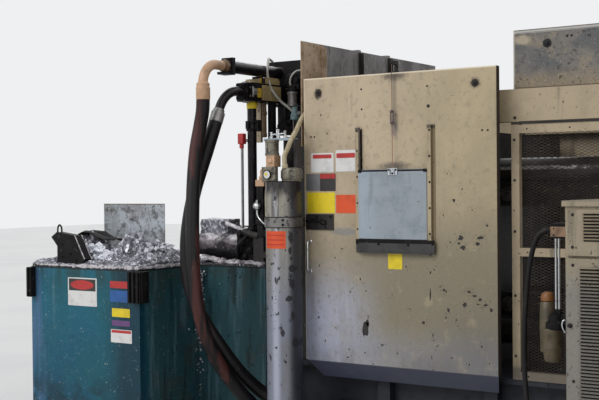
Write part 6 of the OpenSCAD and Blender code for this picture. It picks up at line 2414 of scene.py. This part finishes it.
def add_junction_box():
    """Junction box with its caps, cable gland and screws"""
    low, high = JUNCTION_LOW, JUNCTION_HIGH
    shape = Shape()
    shape.box((low.x + 0.013, low.y, low.z + 0.008), (high.x, high.y, low.z + 0.054))
    shape.piece("junction_body", "junction_paint", edge=0.002, replaces=("junction_box",))
    shape = Shape()
    shape.box((low.x + 0.010, low.y + 0.003, low.z), (high.x - 0.004, high.y - 0.003, low.z + 0.008))
    shape.box((low.x + 0.012, low.y + 0.004, low.z + 0.054), (high.x - 0.004, high.y - 0.004, high.z))
    shape.lathe((low.x + 0.014, -1.670, 1.345), [(0.023, 0), (0.023, 0.010), (0.017, 0.014)], LEFT, 6)
    shape.lathe((low.x + 0.004, -1.670, 1.345), [(0.017, 0), (0.019, 0.006), (0.013, 0.026)], LEFT, 24)
    for x in (low.x + 0.03, high.x - 0.02):
        shape.bolt((x, low.y, low.z + 0.046), OUT, 0.005)
        shape.bolt((x, low.y, low.z + 0.016), OUT, 0.005)
    shape.piece("junction_caps", "junction_paint", BLACK_GREASE, edge=0.0008)


def add_filter():
    """Chrome rods, greasy head, olive bowl and, behind it, a second bowl with an amber top"""
    y = (JUNCTION_LOW.y + JUNCTION_HIGH.y) / 2
    x = FILTER_LOW.x + 0.036
    shape = Shape()
    for place in (1.8235, 1.8385):
        shape.rod((place, y, 0.958), (place, y, FILTER_HIGH.z), 0.0055, sides=20)
    shape.piece("filter_rods", "chrome")
    shape = Shape()
    shape.lathe((x + 0.018, y, 0.893), [(0.047, 0), (0.049, 0.006), (0.049, 0.030), (0.038, 0.036),
                                        (0.036, 0.062), (0.022, 0.070)])
    shape.box((x + 0.030, y - 0.022, 0.915), (FILTER_HIGH.x, y + 0.022, 0.953))
    shape.box((1.815, y - 0.010, 0.955), (1.847, y + 0.010, 0.985))
    for s in (-1, 1):
        shape.bolt((x + 0.018 + s * 0.024, y - 0.036, 0.925), OUT, 0.010)
    shape.piece("filter_head", "black_grease", edge=0.001)
    shape = Shape()
    shape.lathe((x, y, FILTER_LOW.z), [(0.020, 0), (0.034, 0.004), (0.041, 0.016), (0.044, 0.060),
                                       (0.0445, 0.062), (0.0445, 0.070), (0.044, 0.072), (0.045, 0.128),
                                       (0.046, 0.130), (0.046, 0.152), (0.043, 0.156)])
    shape.lathe((x - 0.040, y + 0.042, 0.775), [(0.020, 0), (0.034, 0.006), (0.036, 0.100), (0.037, 0.102),
                                                (0.037, 0.112), (0.035, 0.230), (0.030, 0.238)])
    shape.piece("filter_bowls", "chrome", OLIVE_PAINT, replaces=("filter_unit",))
    shape = Shape()
    shape.lathe((x - 0.040, y + 0.042, 1.012), [(0.024, 0), (0.031, 0.006), (0.032, 0.022), (0.026, 0.038),
                                                (0.012, 0.046)])
    shape.piece("filter_cap", "chrome", AMBER_PAINT)


add_louvres()
add_cabinet_bolts()
add_junction_box()
add_filter()


# Light, floor and sky
WORLD_LIGHT = 0.5
# Lamps: name, the way the light comes from, how soft it is in degrees, and its strength
LAMPS = [("key", (-3.5, -8.0, 6.5), 34, 1.45), ("fill", (7.0, -5.0, 3.5), 50, 0.35),
         ("back", (-1.0, 8.0, 5.0), 50, 0.7)]


def add_stage():
    """Floor, sky and lamps"""
    f = Finish("floor_finish", (226, 226, 224), rough=0.85)
    f.mottle((0.6, 3), (0.4, 0.7), (220, 220, 219))
    material = f.done()
    half = 30.0
    bpy.ops.mesh.primitive_plane_add(size=2 * half, location=(0, 0, -0.001))
    floor = bpy.context.object
    floor.name = "floor"
    floor.data.materials.append(material)
    world = bpy.data.worlds.new("sky")
    SCENE.world = world
    world.use_nodes = True
    nodes = world.node_tree.nodes
    links = world.node_tree.links
    nodes.clear()
    path = nodes.new("ShaderNodeLightPath")
    seen = nodes.new("ShaderNodeMath")
    seen.operation = "MAXIMUM"
    links.new(path.outputs["Is Camera Ray"], seen.inputs[0])
    links.new(path.outputs["Is Glossy Ray"], seen.inputs[1])
    soft = nodes.new("ShaderNodeBackground")
    soft.inputs[0].default_value = (0.93, 0.96, 1.0, 1)
    soft.inputs[1].default_value = WORLD_LIGHT
    pale = nodes.new("ShaderNodeBackground")
    pale.inputs[0].default_value = (0.86, 0.87, 0.88, 1)
    pale.inputs[1].default_value = 1.0
    mix = nodes.new("ShaderNodeMixShader")
    links.new(seen.outputs[0], mix.inputs[0])
    links.new(soft.outputs[0], mix.inputs[1])
    links.new(pale.outputs[0], mix.inputs[2])
    out = nodes.new("ShaderNodeOutputWorld")
    links.new(mix.outputs[0], out.inputs[0])
    for name, source, softness, strength in LAMPS:
        data = bpy.data.lights.new(name, "SUN")
        data.angle = math.radians(softness)
        data.energy = strength
        lamp = bpy.data.objects.new(name, data)
        lamp.location = source
        lamp.rotation_euler = (-Vector(source)).to_track_quat("-Z", "Y").to_euler()
        SCENE.collection.objects.link(lamp)


add_stage()
